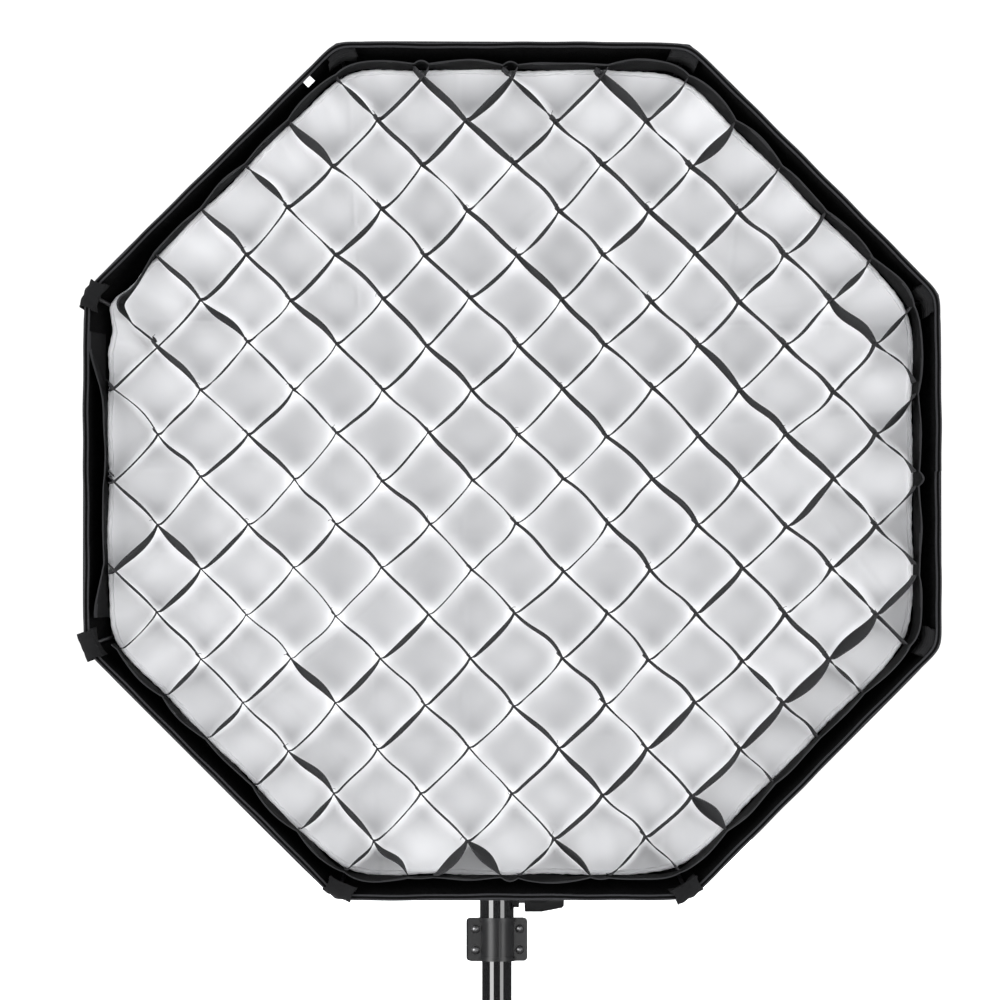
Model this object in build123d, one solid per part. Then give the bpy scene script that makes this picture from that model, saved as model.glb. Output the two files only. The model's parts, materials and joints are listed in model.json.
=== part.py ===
from build123d import *
import math
import os

os.makedirs("parts", exist_ok=True)

# An eight-sided studio softbox with its fabric grid, carried by a tilting flash bracket on the top
# section of a stand.  Millimetres, +Z up, the box faces -Y.  The origin is the centre of the
# lower end of the stand column, where the next stand section clamps it.

# ---- the softbox: overall sizes -------------------------------------------------------------
SIDES = 8
box_flats = 950.0          # across the flats at the rim
box_depth = 410.0          # back plane of the speed ring to the rim
axis_height = 650.0        # optical axis above the lower end of the column
ring_plane = 70.0          # optical-axis distance from the column's axis to the ring's back plane
rod_bow = 70.0             # how far a bent rod stands off its own chord
shell_wall = 1.2
shell_steps = 8            # flat bands that follow the bend of the rods
band_margin = 0.5          # the last band starts this far behind the lip lining
neck_out = 24.0            # the shell's first corner outside the speed ring
neck_front = 27.0          # and its distance in front of the ring's back plane
cuff_clear = 2.07          # cuff to the speed ring, at the middle of a side
cuff_front = 15.0

# ---- rods -------------------------------------------------------------------------------------
rod_radius = 2.25
rod_gap = 3.0              # rod to fabric
rod_end_margin = 14.0      # rod end to the rim, along the bend
rod_tip_radius = 2.6
rod_tip_length = 9.0
socket_radius = 6.0
socket_length = 24.0
socket_stand = 8.0         # socket mouth to the start of the bend
rod_fit = 0.05

# ---- rim, lip, diffusers and grid ---------------------------------------------------------------
lip_depth = 55.0           # rim to the front diffuser
lip_wall = 1.5
binding_width = 6.6
binding_height = 5.0
pocket_width = 34.0
pocket_depth = 34.0
pocket_wall = 1.8
pocket_gap = 0.2
relief_gap = 0.5           # corner pocket to whatever is cut back for it
diffuser_wall = 1.0
diffuser_gap = 0.4
hem_width = 12.0
hem_wall = 1.2
inner_diffuser_front = 210.0
inner_diffuser_corner = 300.0
strap_width = 10.0
strap_wall = 1.0
loop_wire = 0.65
loop_fit = 0.2
grid_depth = 45.0
grid_back_gap = 1.5        # diffuser hem to the back edge of the grid
grid_strip = 0.6
grid_pitch = 70.6
grid_shift_falling = 33.2   # first strip of each family, from the optical axis
grid_shift_rising = -25.3
grid_hem_wall = 1.4
grid_hem_gap = 0.6
tag_size = 11.0
tag_wall = 0.5
tag_along = 144.0          # from the middle of its side
tag_reach = 4.5            # how far its outer edge lies under the binding's own depth

# ---- speed ring and adapter ---------------------------------------------------------------------
throat_radius = 42.0
hub_radius = 55.0
ring_running_fit = 0.05
ring_wall = 20.95
ring_thickness = 29.7
ring_axial_gap = 0.3
flange_reach = 7.0         # beyond the hub
flange_thickness = 3.0
spigot_back = 12.0
retainer_reach = 5.0
retainer_thickness = 3.0
lock_screw_radius = 3.0
lock_screw_offset = 8.0    # in front of the ring's back plane
lock_knob_radius = 5.6
lock_knob_length = 15.0
lock_knob_stand = 4.0      # speed ring to the thumbscrew's knob

# ---- stand column ---------------------------------------------------------------------------------
column_radius = 17.5
column_wall = 1.5
column_top = 150.0
seat_step = 0.2            # the column is turned down this much under the collar and the sleeve
collar_low = 86.0
collar_height = 51.0
collar_ear = 18.0          # how far the collar reaches beyond the tube on each side
collar_turn = 8.0
collar_shell = 3.2
collar_lip = 1.6
collar_lip_height = 4.5
collar_flange = 5.0
collar_split = 1.0         # half of the gap between the two halves
collar_corner = 4.5
screw_out = 8.9            # screw line to the tube
screw_rise = 24.7
screw_head = 5.6
screw_shank = 2.5
nut_across = 8.0
nut_thickness = 4.0
bush_length = 34.0
bush_wall = 1.0
sleeve_wall = 2.5
sleeve_over = 46.0         # sleeve above the column's top
knob_over = 8.0            # clamping screw above the column's top
knob_boss_radius = 9.0
knob_boss_out = 6.0        # boss beyond the sleeve
knob_stand = 13.0          # sleeve to the knob
knob_hub_length = 20.0
knob_taper_length = 26.0
knob_hub_radius = 14.3
knob_end_radius = 9.3
knob_screw_radius = 4.0
shoe_radius = 3.6
shoe_length = 3.0

# ---- riser ------------------------------------------------------------------------------------------
riser_wall = 1.5
riser_low = 12.0
riser_drop = 113.0         # tilt axis to the top of the riser tube
slide_fit = 0.05
glide_length = 14.0
cap_height = 12.0
stud_radius = 7.95
stud_length = 40.0

# ---- tilting bracket ----------------------------------------------------------------------------------
tilt_drop = 105.0          # optical axis to tilt axis
socket_body_radius = 17.0
socket_gap = 2.0           # riser cap to socket
socket_body_drop = 25.0    # tilt axis to the top of the socket's round body
stud_fit = 0.05
umbrella_radius = 4.1
umbrella_drop = 41.0
side_knob_radius = 12.0
side_knob_length = 22.0
side_screw_radius = 3.0
small_knob_radius = 7.5
small_knob_length = 12.0
lug_half = 8.0
lug_radius = 16.0
disc_wall = 1.2
disc_gap = 0.1
ear_wall = 8.0
bolt_radius = 4.0
bolt_fit = 0.05
lever_hub = 10.0
lever_length = 62.0
plate_half = 30.0
plate_rise = 20.0          # tilt axis to the under side of the plate
plate_thickness = 8.0
plate_back = 110.0
plate_front_gap = 4.0
mount_bore = 50.0
mount_wall = 14.0
mount_thickness = 10.0
mount_foot_half = 22.0
latch_angle = 45.0
latch_out = 8.0            # latch pin beyond the ring
latch_boss = 8.0
latch_pin = 2.0
latch_wall = 4.0
latch_length = 34.0
cradle_inner = 60.0
cradle_post = 8.0
cradle_front = 20.0
cradle_depth = 24.0
cradle_rise = 62.0         # optical axis to the under side of the bar
cradle_bar = 12.0
cradle_foot = 6.0
pad_half = 21.0
pad_height = 12.0
pad_notch = 4.0
jaw_height = 12.0
jaw_gap = 4.0              # open jaw to the bar
jaw_pad_height = 6.0
jaw_half = 26.0
guide_spread = 16.0
guide_radius = 3.0
guide_over = 60.0
jaw_screw_radius = 4.0
jaw_knob_rise = 52.0       # bar to the knob, more than the jaw's 40 mm of travel
jaw_knob_radius = 17.0
jaw_knob_height = 22.0

# ---- worked out from the sizes above --------------------------------------------------------------------
half_angle = 180.0 / SIDES
corner_stretch = 1.0 / math.cos(math.radians(half_angle))
ring_outer = hub_radius + ring_running_fit + ring_wall
neck_corner = ring_outer + neck_out
cuff_corner = (ring_outer + cuff_clear) * corner_stretch
flange_radius = hub_radius + flange_reach
retainer_outer = hub_radius + retainer_reach
lock_knob_start = ring_outer + lock_knob_stand
riser_radius = column_radius - column_wall - bush_wall
seat_radius = column_radius - seat_step
collar_width = 2 * (column_radius + collar_ear)
screw_spread = 2 * (column_radius + screw_out)
sleeve_radius = column_radius + sleeve_wall
sleeve_top = column_top + sleeve_over
knob_height = column_top + knob_over
knob_boss_end = sleeve_radius + knob_boss_out
knob_start = sleeve_radius + knob_stand
knob_hub_end = knob_start + knob_hub_length
knob_end = knob_hub_end + knob_taper_length
tilt_height = axis_height - tilt_drop
riser_top = tilt_height - riser_drop
socket_body_low = riser_top + cap_height + socket_gap
socket_body_top = tilt_height - socket_body_drop
umbrella_height = tilt_height - umbrella_drop
plate_low = tilt_height + plate_rise
mount_outer = mount_bore + mount_wall
latch_reach = mount_outer + latch_out
cradle_top = axis_height + cradle_rise
jaw_low = cradle_top - jaw_gap - jaw_height
jaw_knob_low = cradle_top + cradle_bar + jaw_knob_rise
jaw_screw_top = jaw_knob_low + jaw_knob_height - 2
rim_corner = box_flats / 2 * corner_stretch
chord_out = rim_corner - neck_corner
chord_forward = box_depth - neck_front
chord = math.hypot(chord_out, chord_forward)
bend_radius = chord * chord / (8 * rod_bow) + rod_bow / 2
chord_angle = math.atan2(chord_forward, chord_out)
half_sweep = math.asin(chord / 2 / bend_radius)
centre_out = (neck_corner + rim_corner) / 2 - (bend_radius - rod_bow) * math.sin(chord_angle)
centre_forward = (neck_front + box_depth) / 2 + (bend_radius - rod_bow) * math.cos(chord_angle)
rod_inset = (shell_wall + rod_radius + rod_gap) * corner_stretch
loop_radius = rod_radius + loop_wire + loop_fit
binding_front = box_depth + binding_height
diffuser_front = box_depth - lip_depth
grid_back = diffuser_front + hem_wall + grid_back_gap
grid_front = grid_back + grid_depth
ring_back = flange_thickness + ring_axial_gap
ring_front = ring_back + ring_thickness
collar_mid = collar_low + collar_height / 2
optics = Pos(0, -ring_plane, axis_height) * Rot(90, 0, 0)


def bend_point(share, inset=0.0):
    """A point (outwards, forwards) on the bend, share 0 at the neck and 1 at the rim."""
    angle = chord_angle - math.pi / 2 + (2 * share - 1) * half_sweep
    reach = bend_radius - inset
    return centre_out + reach * math.cos(angle), centre_forward + reach * math.sin(angle)


def bend_tangent(share):
    """The direction (outwards, forwards) in which the bend runs on towards the rim."""
    angle = chord_angle - math.pi / 2 + (2 * share - 1) * half_sweep
    return -math.sin(angle), math.cos(angle)


def share_at(forward, inset):
    """The share of the bend at which it is this far forwards."""
    angle = math.asin((forward - centre_forward) / (bend_radius - inset))
    return 0.5 + (angle - chord_angle + math.pi / 2) / (2 * half_sweep)


def shell_stations():
    """(forwards, outer corner radius, inner corner radius) of each band line of the shell.
    The last band is the one that carries the lip lining; the others are of equal length."""
    lip_start = share_at(diffuser_front - hem_width - band_margin, 0.0)
    shares = [lip_start * step / (shell_steps - 1) for step in range(shell_steps)] + [1.0]
    rows = []
    for share in shares:
        out, forward = bend_point(share)
        slope = bend_tangent(share)
        rows.append((forward, out, out - shell_wall * corner_stretch / slope[1]))
    return rows


stations = shell_stations()


def on_band(forward, column):
    """Outer (column 1) or inner (column 2) corner radius on the last band, next to the rim."""
    low, high = stations[-2], stations[-1]
    share = (forward - low[0]) / (high[0] - low[0])
    return low[column] + share * (high[column] - low[column])


def lip_corner(forward):
    """Corner radius of the open side of the lip lining."""
    return on_band(forward, 2) - lip_wall * corner_stretch


def rod_corner(forward):
    """How far out the rods run next to the rim, measured on the straight band line."""
    return on_band(forward, 1) - rod_inset / bend_tangent(1.0)[1]


def pocket_corner(forward):
    """Corner radius of the inner leg of a corner pocket, on the side that faces the rod end."""
    return rod_corner(forward) - (rod_tip_radius + pocket_gap) * corner_stretch


def octagon(corner):
    return RegularPolygon(corner, SIDES, rotation=half_angle)


def frustum(low, low_corner, high, high_corner):
    return loft([Pos(0, 0, low) * octagon(low_corner), Pos(0, 0, high) * octagon(high_corner)], ruled=True)


def side_strip(rows, end_gap=0.0):
    """One flat side of an eight-sided wall; rows are (forwards, outer corner, inner corner)."""
    faces = []
    for forward, outer, inner in rows:
        far, near = outer / corner_stretch, inner / corner_stretch
        wide = outer * math.sin(math.radians(half_angle)) - end_gap
        slim = inner * math.sin(math.radians(half_angle)) - end_gap
        outline = Polyline((far, -wide), (far, wide), (near, slim), (near, -slim), close=True)
        faces.append(Pos(0, 0, forward) * make_face(outline))
    return loft(faces, ruled=True)


def corner_relief():
    """Eight slanted blocks that keep a flat piece clear of the corner pockets and the rods."""
    half = pocket_width / 2 + relief_gap
    cut_back = pocket_wall * corner_stretch + half * math.tan(math.radians(half_angle)) + relief_gap
    faces = []
    for forward in (diffuser_front - 2 * hem_width, binding_front + 10):
        near = pocket_corner(forward) - cut_back
        faces.append(Pos(near + 50, 0, forward) * Rectangle(100, 2 * half))
    return around(loft(faces, ruled=True), half_angle)


def relieved(piece):
    for block in corner_relief():
        piece -= block
    return piece


def around(piece, start=0.0):
    """Eight copies of a piece about the optical axis, as separate solids."""
    return [Rot(0, 0, start + 360.0 / SIDES * turn) * piece for turn in range(SIDES)]


def save(node, *pieces):
    solids = []
    for piece in pieces:
        solids.extend(piece.solids())
    shape = solids[0] if len(solids) == 1 else Compound(solids)
    export_step(shape, "parts/" + node + ".step")


def rod_along(radius, start_share, end_share, straight):
    """A round bar on the rods' bend, in the plane of +X and the axis, with a straight lead-in."""
    inset = rod_inset
    first = bend_point(start_share, inset)
    middle = bend_point((start_share + end_share) / 2, inset)
    last = bend_point(end_share, inset)
    path = ThreePointArc((first[0], 0, first[1]), (middle[0], 0, middle[1]), (last[0], 0, last[1]))
    begin = first
    if straight > 0:
        run = bend_tangent(start_share)
        begin = (first[0] - straight * run[0], first[1] - straight * run[1])
        path = Line((begin[0], 0, begin[1]), (first[0], 0, first[1])) + path
    run = bend_tangent(start_share)
    section = Plane((begin[0], 0, begin[1]), z_dir=(run[0], 0, run[1])) * Circle(radius)
    return sweep(section, path=path)


def rod_end_share():
    return 1.0 - (rod_end_margin + rod_tip_length) / (2 * half_sweep * bend_radius)


def bar_on_socket_axis(radius, near, far):
    """A straight bar on the line of a rod's lead-in; near and far are back from the bend's start."""
    start = bend_point(0.0, rod_inset)
    run = bend_tangent(0.0)
    place = Plane((start[0] - far * run[0], 0, start[1] - far * run[1]), z_dir=(run[0], 0, run[1]))
    return extrude(place * Circle(radius), amount=far - near)


# ---- fabric shell -----------------------------------------------------------------------------------------
def shell_panels():
    save("shell_panels", *[optics * piece for piece in around(side_strip(stations))])


def neck_cuff():
    outer = frustum(cuff_front, cuff_corner, neck_front, neck_corner)
    thick = shell_wall * corner_stretch
    slope = (neck_corner - cuff_corner) / (neck_front - cuff_front)
    inner = frustum(
        cuff_front - 1, cuff_corner - slope - thick * 1.6, neck_front + 1, neck_corner + slope - thick * 1.6
    )
    save("neck_cuff", optics * (outer - inner))


def lip_lining():
    rows = []
    for forward in (diffuser_front - hem_width, box_depth):
        rows.append((forward, on_band(forward, 2), lip_corner(forward)))
    strip = relieved(side_strip(rows))
    save("lip_lining", *[optics * piece for piece in around(strip)])


def rim_binding():
    inner = rim_corner - binding_width * corner_stretch
    rows = [(box_depth, rim_corner, inner), (binding_front, rim_corner, inner)]
    save("rim_binding", *[optics * piece for piece in around(side_strip(rows))])


def corner_pockets():
    """Webbing pockets that wrap over the rim at each corner and hold the rod ends."""
    low = box_depth - pocket_depth
    top = binding_front + pocket_gap + pocket_wall
    reach = (pocket_gap + pocket_wall) * corner_stretch
    gap = pocket_gap * corner_stretch
    rim_outer = on_band(binding_front, 1)
    skin = frustum(low, on_band(low, 1) + reach, top, rim_outer + reach)
    leg = pocket_wall * corner_stretch
    hollow = frustum(low - 1, pocket_corner(low - 1) - leg, top + 1, pocket_corner(top + 1) - leg)
    core = frustum(low - 1, on_band(low - 1, 1) + gap, binding_front + pocket_gap, rim_outer + gap)
    core_hollow = frustum(low - 1, pocket_corner(low - 1), binding_front + 1, pocket_corner(binding_front + 1))
    wrap = skin - hollow - (core - core_hollow)
    block = Pos(rim_corner, 0, box_depth) * Box(90, pocket_width, 120)
    pieces = []
    for turn in range(SIDES):
        pieces.append(optics * (wrap & (Rot(0, 0, half_angle + 360.0 / SIDES * turn) * block)))
    save("corner_pockets", *pieces)


def front_diffuser():
    corner = lip_corner(diffuser_front - diffuser_wall) - diffuser_gap * corner_stretch
    sheet = Pos(0, 0, diffuser_front - diffuser_wall) * extrude(octagon(corner), amount=diffuser_wall)
    save("front_diffuser", optics * relieved(sheet))


def diffuser_hem():
    corner = lip_corner(diffuser_front - diffuser_wall) - diffuser_gap * corner_stretch
    band = octagon(corner) - octagon(corner - hem_width * corner_stretch)
    hem = relieved(Pos(0, 0, diffuser_front) * extrude(band, amount=hem_wall))
    save("diffuser_hem", optics * hem)


def inner_diffuser():
    sheet = extrude(octagon(inner_diffuser_corner), amount=diffuser_wall)
    save("inner_diffuser", optics * (Pos(0, 0, inner_diffuser_front) * sheet))


def strap_loop_place():
    share = share_at(inner_diffuser_front, rod_inset)
    return bend_point(share, rod_inset), bend_tangent(share)


def inner_straps():
    place, _ = strap_loop_place()
    start = inner_diffuser_corner + 0.2
    end = place[0] - loop_radius - loop_wire - 0.2
    strap = Pos((start + end) / 2, 0, inner_diffuser_front + strap_wall / 2)
    strap = strap * Box(end - start, strap_width, strap_wall)
    save("inner_straps", *[optics * piece for piece in around(strap, half_angle)])


def strap_loops():
    place, run = strap_loop_place()
    loop = Plane((place[0], 0, place[1]), z_dir=(run[0], 0, run[1])) * Torus(loop_radius, loop_wire)
    save("strap_loops", *[optics * piece for piece in around(loop, half_angle)])


# ---- fabric grid --------------------------------------------------------------------------------------------
def grid_hem_rows():
    rows = []
    for forward in (grid_back, grid_front):
        outer = lip_corner(forward) - grid_hem_gap * corner_stretch
        rows.append((forward, outer, outer - grid_hem_wall * corner_stretch))
    return rows


def fabric_grid():
    reach = box_flats
    count = math.ceil(box_flats / 2 / grid_pitch) + 1
    strips = Sketch()
    for family, shift in ((45, grid_shift_falling), (-45, grid_shift_rising)):
        for step in range(-count, count + 1):
            away = shift + step * grid_pitch
            strips += Rot(0, 0, family) * (Pos(away, 0) * Rectangle(grid_strip, 2 * reach))
    low, high = grid_hem_rows()
    limit = frustum(low[0], low[2], high[0], high[2])
    lattice = Pos(0, 0, grid_back) * extrude(strips, amount=grid_depth)
    save("fabric_grid", optics * relieved(lattice & limit))


def grid_hem():
    strip = relieved(side_strip(grid_hem_rows()))
    save("grid_hem", *[optics * piece for piece in around(strip)])


def blank_tag():
    """A small plain label sewn in behind the binding, facing forwards."""
    out = box_flats / 2 - tag_reach - tag_size / 2
    tag = Pos(out, -tag_along, box_depth - tag_wall) * Box(tag_size, tag_size, tag_wall)
    save("blank_tag", optics * (Rot(0, 0, 135) * tag))


# ---- speed ring -------------------------------------------------------------------------------------------------
def rods():
    bar = rod_along(rod_radius, 0.0, rod_end_share(), socket_stand + socket_length - 4)
    save("rods", *[optics * piece for piece in around(bar, half_angle)])


def rod_tips():
    share = rod_end_share()
    out, forward = bend_point(share, rod_inset)
    run = bend_tangent(share)
    place = Plane((out, 0, forward), z_dir=(run[0], 0, run[1]))
    sleeve = place * Cylinder(rod_tip_radius, rod_tip_length, align=(Align.CENTER, Align.CENTER, Align.MIN))
    tip = fillet(sleeve.edges().sort_by_distance((out + 20 * run[0], 0, forward + 20 * run[1]))[:1], 1.5)
    save("rod_tips", *[optics * piece for piece in around(tip, half_angle)])


def rod_sockets():
    body = bar_on_socket_axis(socket_radius, socket_stand, socket_stand + socket_length)
    bore = bar_on_socket_axis(rod_radius + rod_fit, socket_stand - 1, socket_stand + socket_length - 3)
    save("rod_sockets", *[optics * piece for piece in around(body - bore, half_angle)])


def tube(outer, inner, low, high):
    return Pos(0, 0, low) * extrude(Circle(outer) - Circle(inner), amount=high - low)


def speed_ring():
    ring = tube(ring_outer, hub_radius + ring_running_fit, ring_back, ring_front)
    seat = bar_on_socket_axis(socket_radius, socket_stand, socket_stand + socket_length)
    for piece in around(seat, half_angle):
        ring -= piece
    screw_hole = Pos(0, 0, lock_screw_offset) * Rot(90, 0, 0) * Cylinder(
        lock_screw_radius + rod_fit, 2 * ring_outer, align=(Align.CENTER, Align.CENTER, Align.MIN)
    )
    save("speed_ring", optics * (ring - screw_hole))


def adapter_ring():
    flange = tube(flange_radius, throat_radius, 0, flange_thickness)
    hub = tube(hub_radius, throat_radius, flange_thickness, ring_front + retainer_thickness + 1)
    spigot = tube(mount_bore, throat_radius, -spigot_back, 0)
    save("adapter_ring", optics * (flange + hub + spigot))


def ring_retainer():
    low = ring_front + ring_axial_gap
    save("ring_retainer", optics * tube(retainer_outer, hub_radius, low, low + retainer_thickness))


def rotation_lock_screw():
    """A thumbscrew through the bottom of the speed ring that bears on the hub."""
    start = hub_radius + 0.4
    screw = Pos(0, -start, lock_screw_offset) * Rot(90, 0, 0) * Cylinder(
        lock_screw_radius, lock_knob_start - start, align=(Align.CENTER, Align.CENTER, Align.MIN)
    )
    save("rotation_lock_screw", optics * screw)


def rotation_lock_knob():
    place = Pos(0, -lock_knob_start, lock_screw_offset) * Rot(90, 0, 0)
    save("rotation_lock_knob", optics * place * fluted_knob(lock_knob_radius, lock_knob_length, 8, 0.8))


# ---- stand column ---------------------------------------------------------------------------------------------------
def fluted_knob(radius, length, flutes, groove):
    """A round knob standing on z = 0 with hollow flutes and a rounded end."""
    body = Cylinder(radius, length, align=(Align.CENTER, Align.CENTER, Align.MIN))
    body = fillet(body.edges().sort_by(Axis.Z)[-1:], min(radius, length) * 0.2)
    for turn in range(flutes):
        cut = Pos(radius + groove, 0, -1) * Cylinder(
            groove * 2, length + 2, align=(Align.CENTER, Align.CENTER, Align.MIN)
        )
        body -= Rot(0, 0, 360.0 / flutes * turn) * cut
    return body


def column_tube():
    bore = column_radius - column_wall
    outside = tube(column_radius, bore, 0, collar_low) + tube(seat_radius, bore, collar_low, column_top)
    screw_side = Pos(0, 0, knob_height) * Rot(0, 90, 0) * Cylinder(
        knob_screw_radius + slide_fit, 2 * column_radius, align=(Align.CENTER, Align.CENTER, Align.MIN)
    )
    save("column_tube", outside - screw_side)


def collar_half(front):
    outer = column_radius + collar_shell
    side = -1 if front else 1
    plate = RectangleRounded(collar_width, collar_height, collar_corner)
    flange = Pos(0, side * collar_split, 0) * Rot(90, 0, 0) * extrude(plate, amount=-side * collar_flange)
    bulge = Cylinder(outer, collar_height)
    for level in (-1, 1):
        place = Pos(0, 0, level * (collar_height - collar_lip_height) / 2)
        bulge += place * Cylinder(outer + collar_lip, collar_lip_height)
    rib = Pos(0, side * (outer + collar_lip) / 2, 0) * Box(3.4, outer + collar_lip - 0.3, collar_height)
    half_space = Pos(0, side * (collar_split + 50), 0) * Box(200, 100, 200)
    half = (bulge + flange + rib) & half_space
    half -= Cylinder(seat_radius, collar_height + 2)
    for across in (-1, 1):
        for level in (-1, 1):
            place = Pos(across * screw_spread / 2, 0, level * screw_rise / 2) * Rot(90, 0, 0)
            half -= place * Cylinder(screw_shank, 60)
    return Pos(0, 0, collar_mid) * Rot(0, 0, collar_turn) * half


def collar_front():
    save("collar_front", collar_half(True))


def collar_back():
    save("collar_back", collar_half(False))


def collar_screw_places():
    places = []
    for across in (-1, 1):
        for level in (-1, 1):
            place = Pos(across * screw_spread / 2, 0, level * screw_rise / 2)
            places.append(Pos(0, 0, collar_mid) * Rot(0, 0, collar_turn) * place)
    return places


def collar_screws():
    face = collar_split + collar_flange
    head = Sphere(screw_head) & (Pos(0, -screw_head / 2, 0) * Box(20, screw_head, 20))
    head = Pos(0, -face + screw_head * 0.35, 0) * head
    head = head & (Pos(0, -face - 10, 0) * Box(20, 20, 20))
    recess = Pos(0, -face - 4, 0) * Rot(90, 0, 0) * extrude(RegularPolygon(1.9, 6), amount=6, both=True)
    head -= recess & (Pos(0, -face - 6, 0) * Box(20, 8, 20))
    length = 2 * face + nut_thickness + 1
    shank = Rot(90, 0, 0) * Cylinder(screw_shank, length)
    shank = Pos(0, -face + length / 2, 0) * shank
    save("collar_screws", *[place * (head + shank) for place in collar_screw_places()])


def collar_nuts():
    face = collar_split + collar_flange
    nut = Rot(90, 0, 0) * extrude(RegularPolygon(nut_across / 2, 6, major_radius=False), amount=-nut_thickness)
    nut = Pos(0, face, 0) * nut
    nut -= Rot(90, 0, 0) * Cylinder(screw_shank, 60)
    save("collar_nuts", *[place * nut for place in collar_screw_places()])


def guide_bush():
    bore = riser_radius + slide_fit
    save("guide_bush", tube(column_radius - column_wall, bore, column_top - bush_length, column_top))


def lock_sleeve():
    """Sleeve on the column's top, with the boss in which the clamping screw runs."""
    body = tube(sleeve_radius, seat_radius, collar_low + collar_height, column_top)
    body += tube(sleeve_radius, riser_radius + slide_fit, column_top, sleeve_top)
    body = fillet(body.edges().group_by(Axis.Z)[-1].sort_by(SortBy.LENGTH)[-1:], 1.2)
    boss = Pos(0, 0, knob_height) * Rot(0, 90, 0) * Cylinder(
        knob_boss_radius, knob_boss_end, align=(Align.CENTER, Align.CENTER, Align.MIN)
    )
    body += boss - Cylinder(sleeve_radius - 1, 2 * axis_height)
    hole = Pos(0, 0, knob_height) * Rot(0, 90, 0) * Cylinder(
        knob_screw_radius + slide_fit, 2 * knob_boss_end, align=(Align.CENTER, Align.CENTER, Align.MIN)
    )
    save("lock_sleeve", body - hole)


def lock_shoe():
    start = riser_radius + slide_fit
    pad = Pos(0, 0, knob_height) * Rot(0, 90, 0) * Cylinder(
        shoe_radius, start + shoe_length, align=(Align.CENTER, Align.CENTER, Align.MIN)
    )
    save("lock_shoe", pad - Cylinder(start, 2 * axis_height))


def lock_screw():
    start = riser_radius + slide_fit + shoe_length + 0.1
    screw = Pos(start, 0, knob_height) * Rot(0, 90, 0) * Cylinder(
        knob_screw_radius, knob_start - start, align=(Align.CENTER, Align.CENTER, Align.MIN)
    )
    save("lock_screw", screw)


def lock_knob():
    """A long hand knob: a fluted hub that tapers to a chamfered end."""
    hub = Cylinder(knob_hub_radius, knob_hub_end - knob_start, align=(Align.CENTER, Align.CENTER, Align.MIN))
    taper = Pos(0, 0, knob_hub_end - knob_start) * Cone(
        knob_hub_radius, knob_end_radius, knob_end - knob_hub_end, align=(Align.CENTER, Align.CENTER, Align.MIN)
    )
    body = hub + taper
    body = chamfer(body.edges().sort_by(Axis.Z)[-1:], 2.0)
    body = fillet(body.edges().sort_by(Axis.Z)[:1], 1.2)
    for turn in range(6):
        cut = Pos(knob_hub_radius + 3.4, 0, 6) * Cylinder(
            5.0, knob_end, align=(Align.CENTER, Align.CENTER, Align.MIN)
        )
        body -= Rot(0, 0, 30 + 60 * turn) * cut
    save("lock_knob", Pos(knob_start, 0, knob_height) * Rot(0, 90, 0) * body)


# ---- riser --------------------------------------------------------------------------------------------------------------
def riser_tube():
    save("riser_tube", tube(riser_radius, riser_radius - riser_wall, riser_low, riser_top))


def riser_glide():
    """Plastic ring pinned round the lower end of the riser, running in the column's bore."""
    outer = column_radius - column_wall - slide_fit
    save("riser_glide", tube(outer, riser_radius, riser_low, riser_low + glide_length))


def riser_cap():
    cap = Pos(0, 0, riser_top) * Cylinder(
        riser_radius + 1.5, cap_height, align=(Align.CENTER, Align.CENTER, Align.MIN)
    )
    cap = chamfer(cap.edges().sort_by(Axis.Z)[-1:], 1.5)
    plug = Pos(0, 0, riser_top - 20) * Cylinder(
        riser_radius - riser_wall, 20, align=(Align.CENTER, Align.CENTER, Align.MIN)
    )
    save("riser_cap", cap + plug)


def riser_stud():
    stud = Pos(0, 0, riser_top + cap_height) * Cylinder(
        stud_radius, stud_length, align=(Align.CENTER, Align.CENTER, Align.MIN)
    )
    stud = chamfer(stud.edges().sort_by(Axis.Z)[-1:], 1.5)
    save("riser_stud", stud)


# ---- bracket: yaw part ------------------------------------------------------------------------------------------------------
def side_knob_height():
    return riser_top + cap_height + stud_length / 2


def stand_socket():
    body = Pos(0, 0, socket_body_low) * Cylinder(
        socket_body_radius, socket_body_top - socket_body_low, align=(Align.CENTER, Align.CENTER, Align.MIN)
    )
    body = fillet(body.edges().filter_by(GeomType.CIRCLE), 1.5)
    neck_low = socket_body_top - 4
    lug = Pos(0, 0, (neck_low + tilt_height) / 2) * Box(2 * lug_half, 24, tilt_height - neck_low)
    lug += Pos(0, 0, tilt_height) * Rot(0, 90, 0) * Cylinder(lug_radius, 2 * lug_half)
    body += lug
    body -= Pos(0, 0, socket_body_low - 1) * Cylinder(
        stud_radius + stud_fit, riser_top + cap_height + stud_length + 1.5 - socket_body_low,
        align=(Align.CENTER, Align.CENTER, Align.MIN),
    )
    body -= Pos(0, 0, tilt_height) * Rot(0, 90, 0) * Cylinder(bolt_radius + bolt_fit, 60)
    body -= Pos(0, 0, umbrella_height) * Rot(90, 0, 0) * Cylinder(umbrella_radius, 60)
    for height in (side_knob_height(), umbrella_height):
        body -= Pos(0, 0, height) * Rot(0, -90, 0) * Cylinder(
            side_screw_radius + slide_fit, 60, align=(Align.CENTER, Align.CENTER, Align.MIN)
        )
    save("stand_socket", body)


def side_screw(height, start, end):
    return Pos(-start, 0, height) * Rot(0, -90, 0) * Cylinder(
        side_screw_radius, end - start, align=(Align.CENTER, Align.CENTER, Align.MIN)
    )


def socket_screw():
    start = stud_radius + 0.3
    save("socket_screw", side_screw(side_knob_height(), start, socket_body_radius + 6))


def socket_knob():
    place = Pos(-socket_body_radius - 6, 0, side_knob_height()) * Rot(0, -90, 0)
    save("socket_knob", place * fluted_knob(side_knob_radius, side_knob_length, 8, 1.4))


def umbrella_screw():
    start = umbrella_radius + 1.0
    save("umbrella_screw", side_screw(umbrella_height, start, socket_body_radius + 3))


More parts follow.
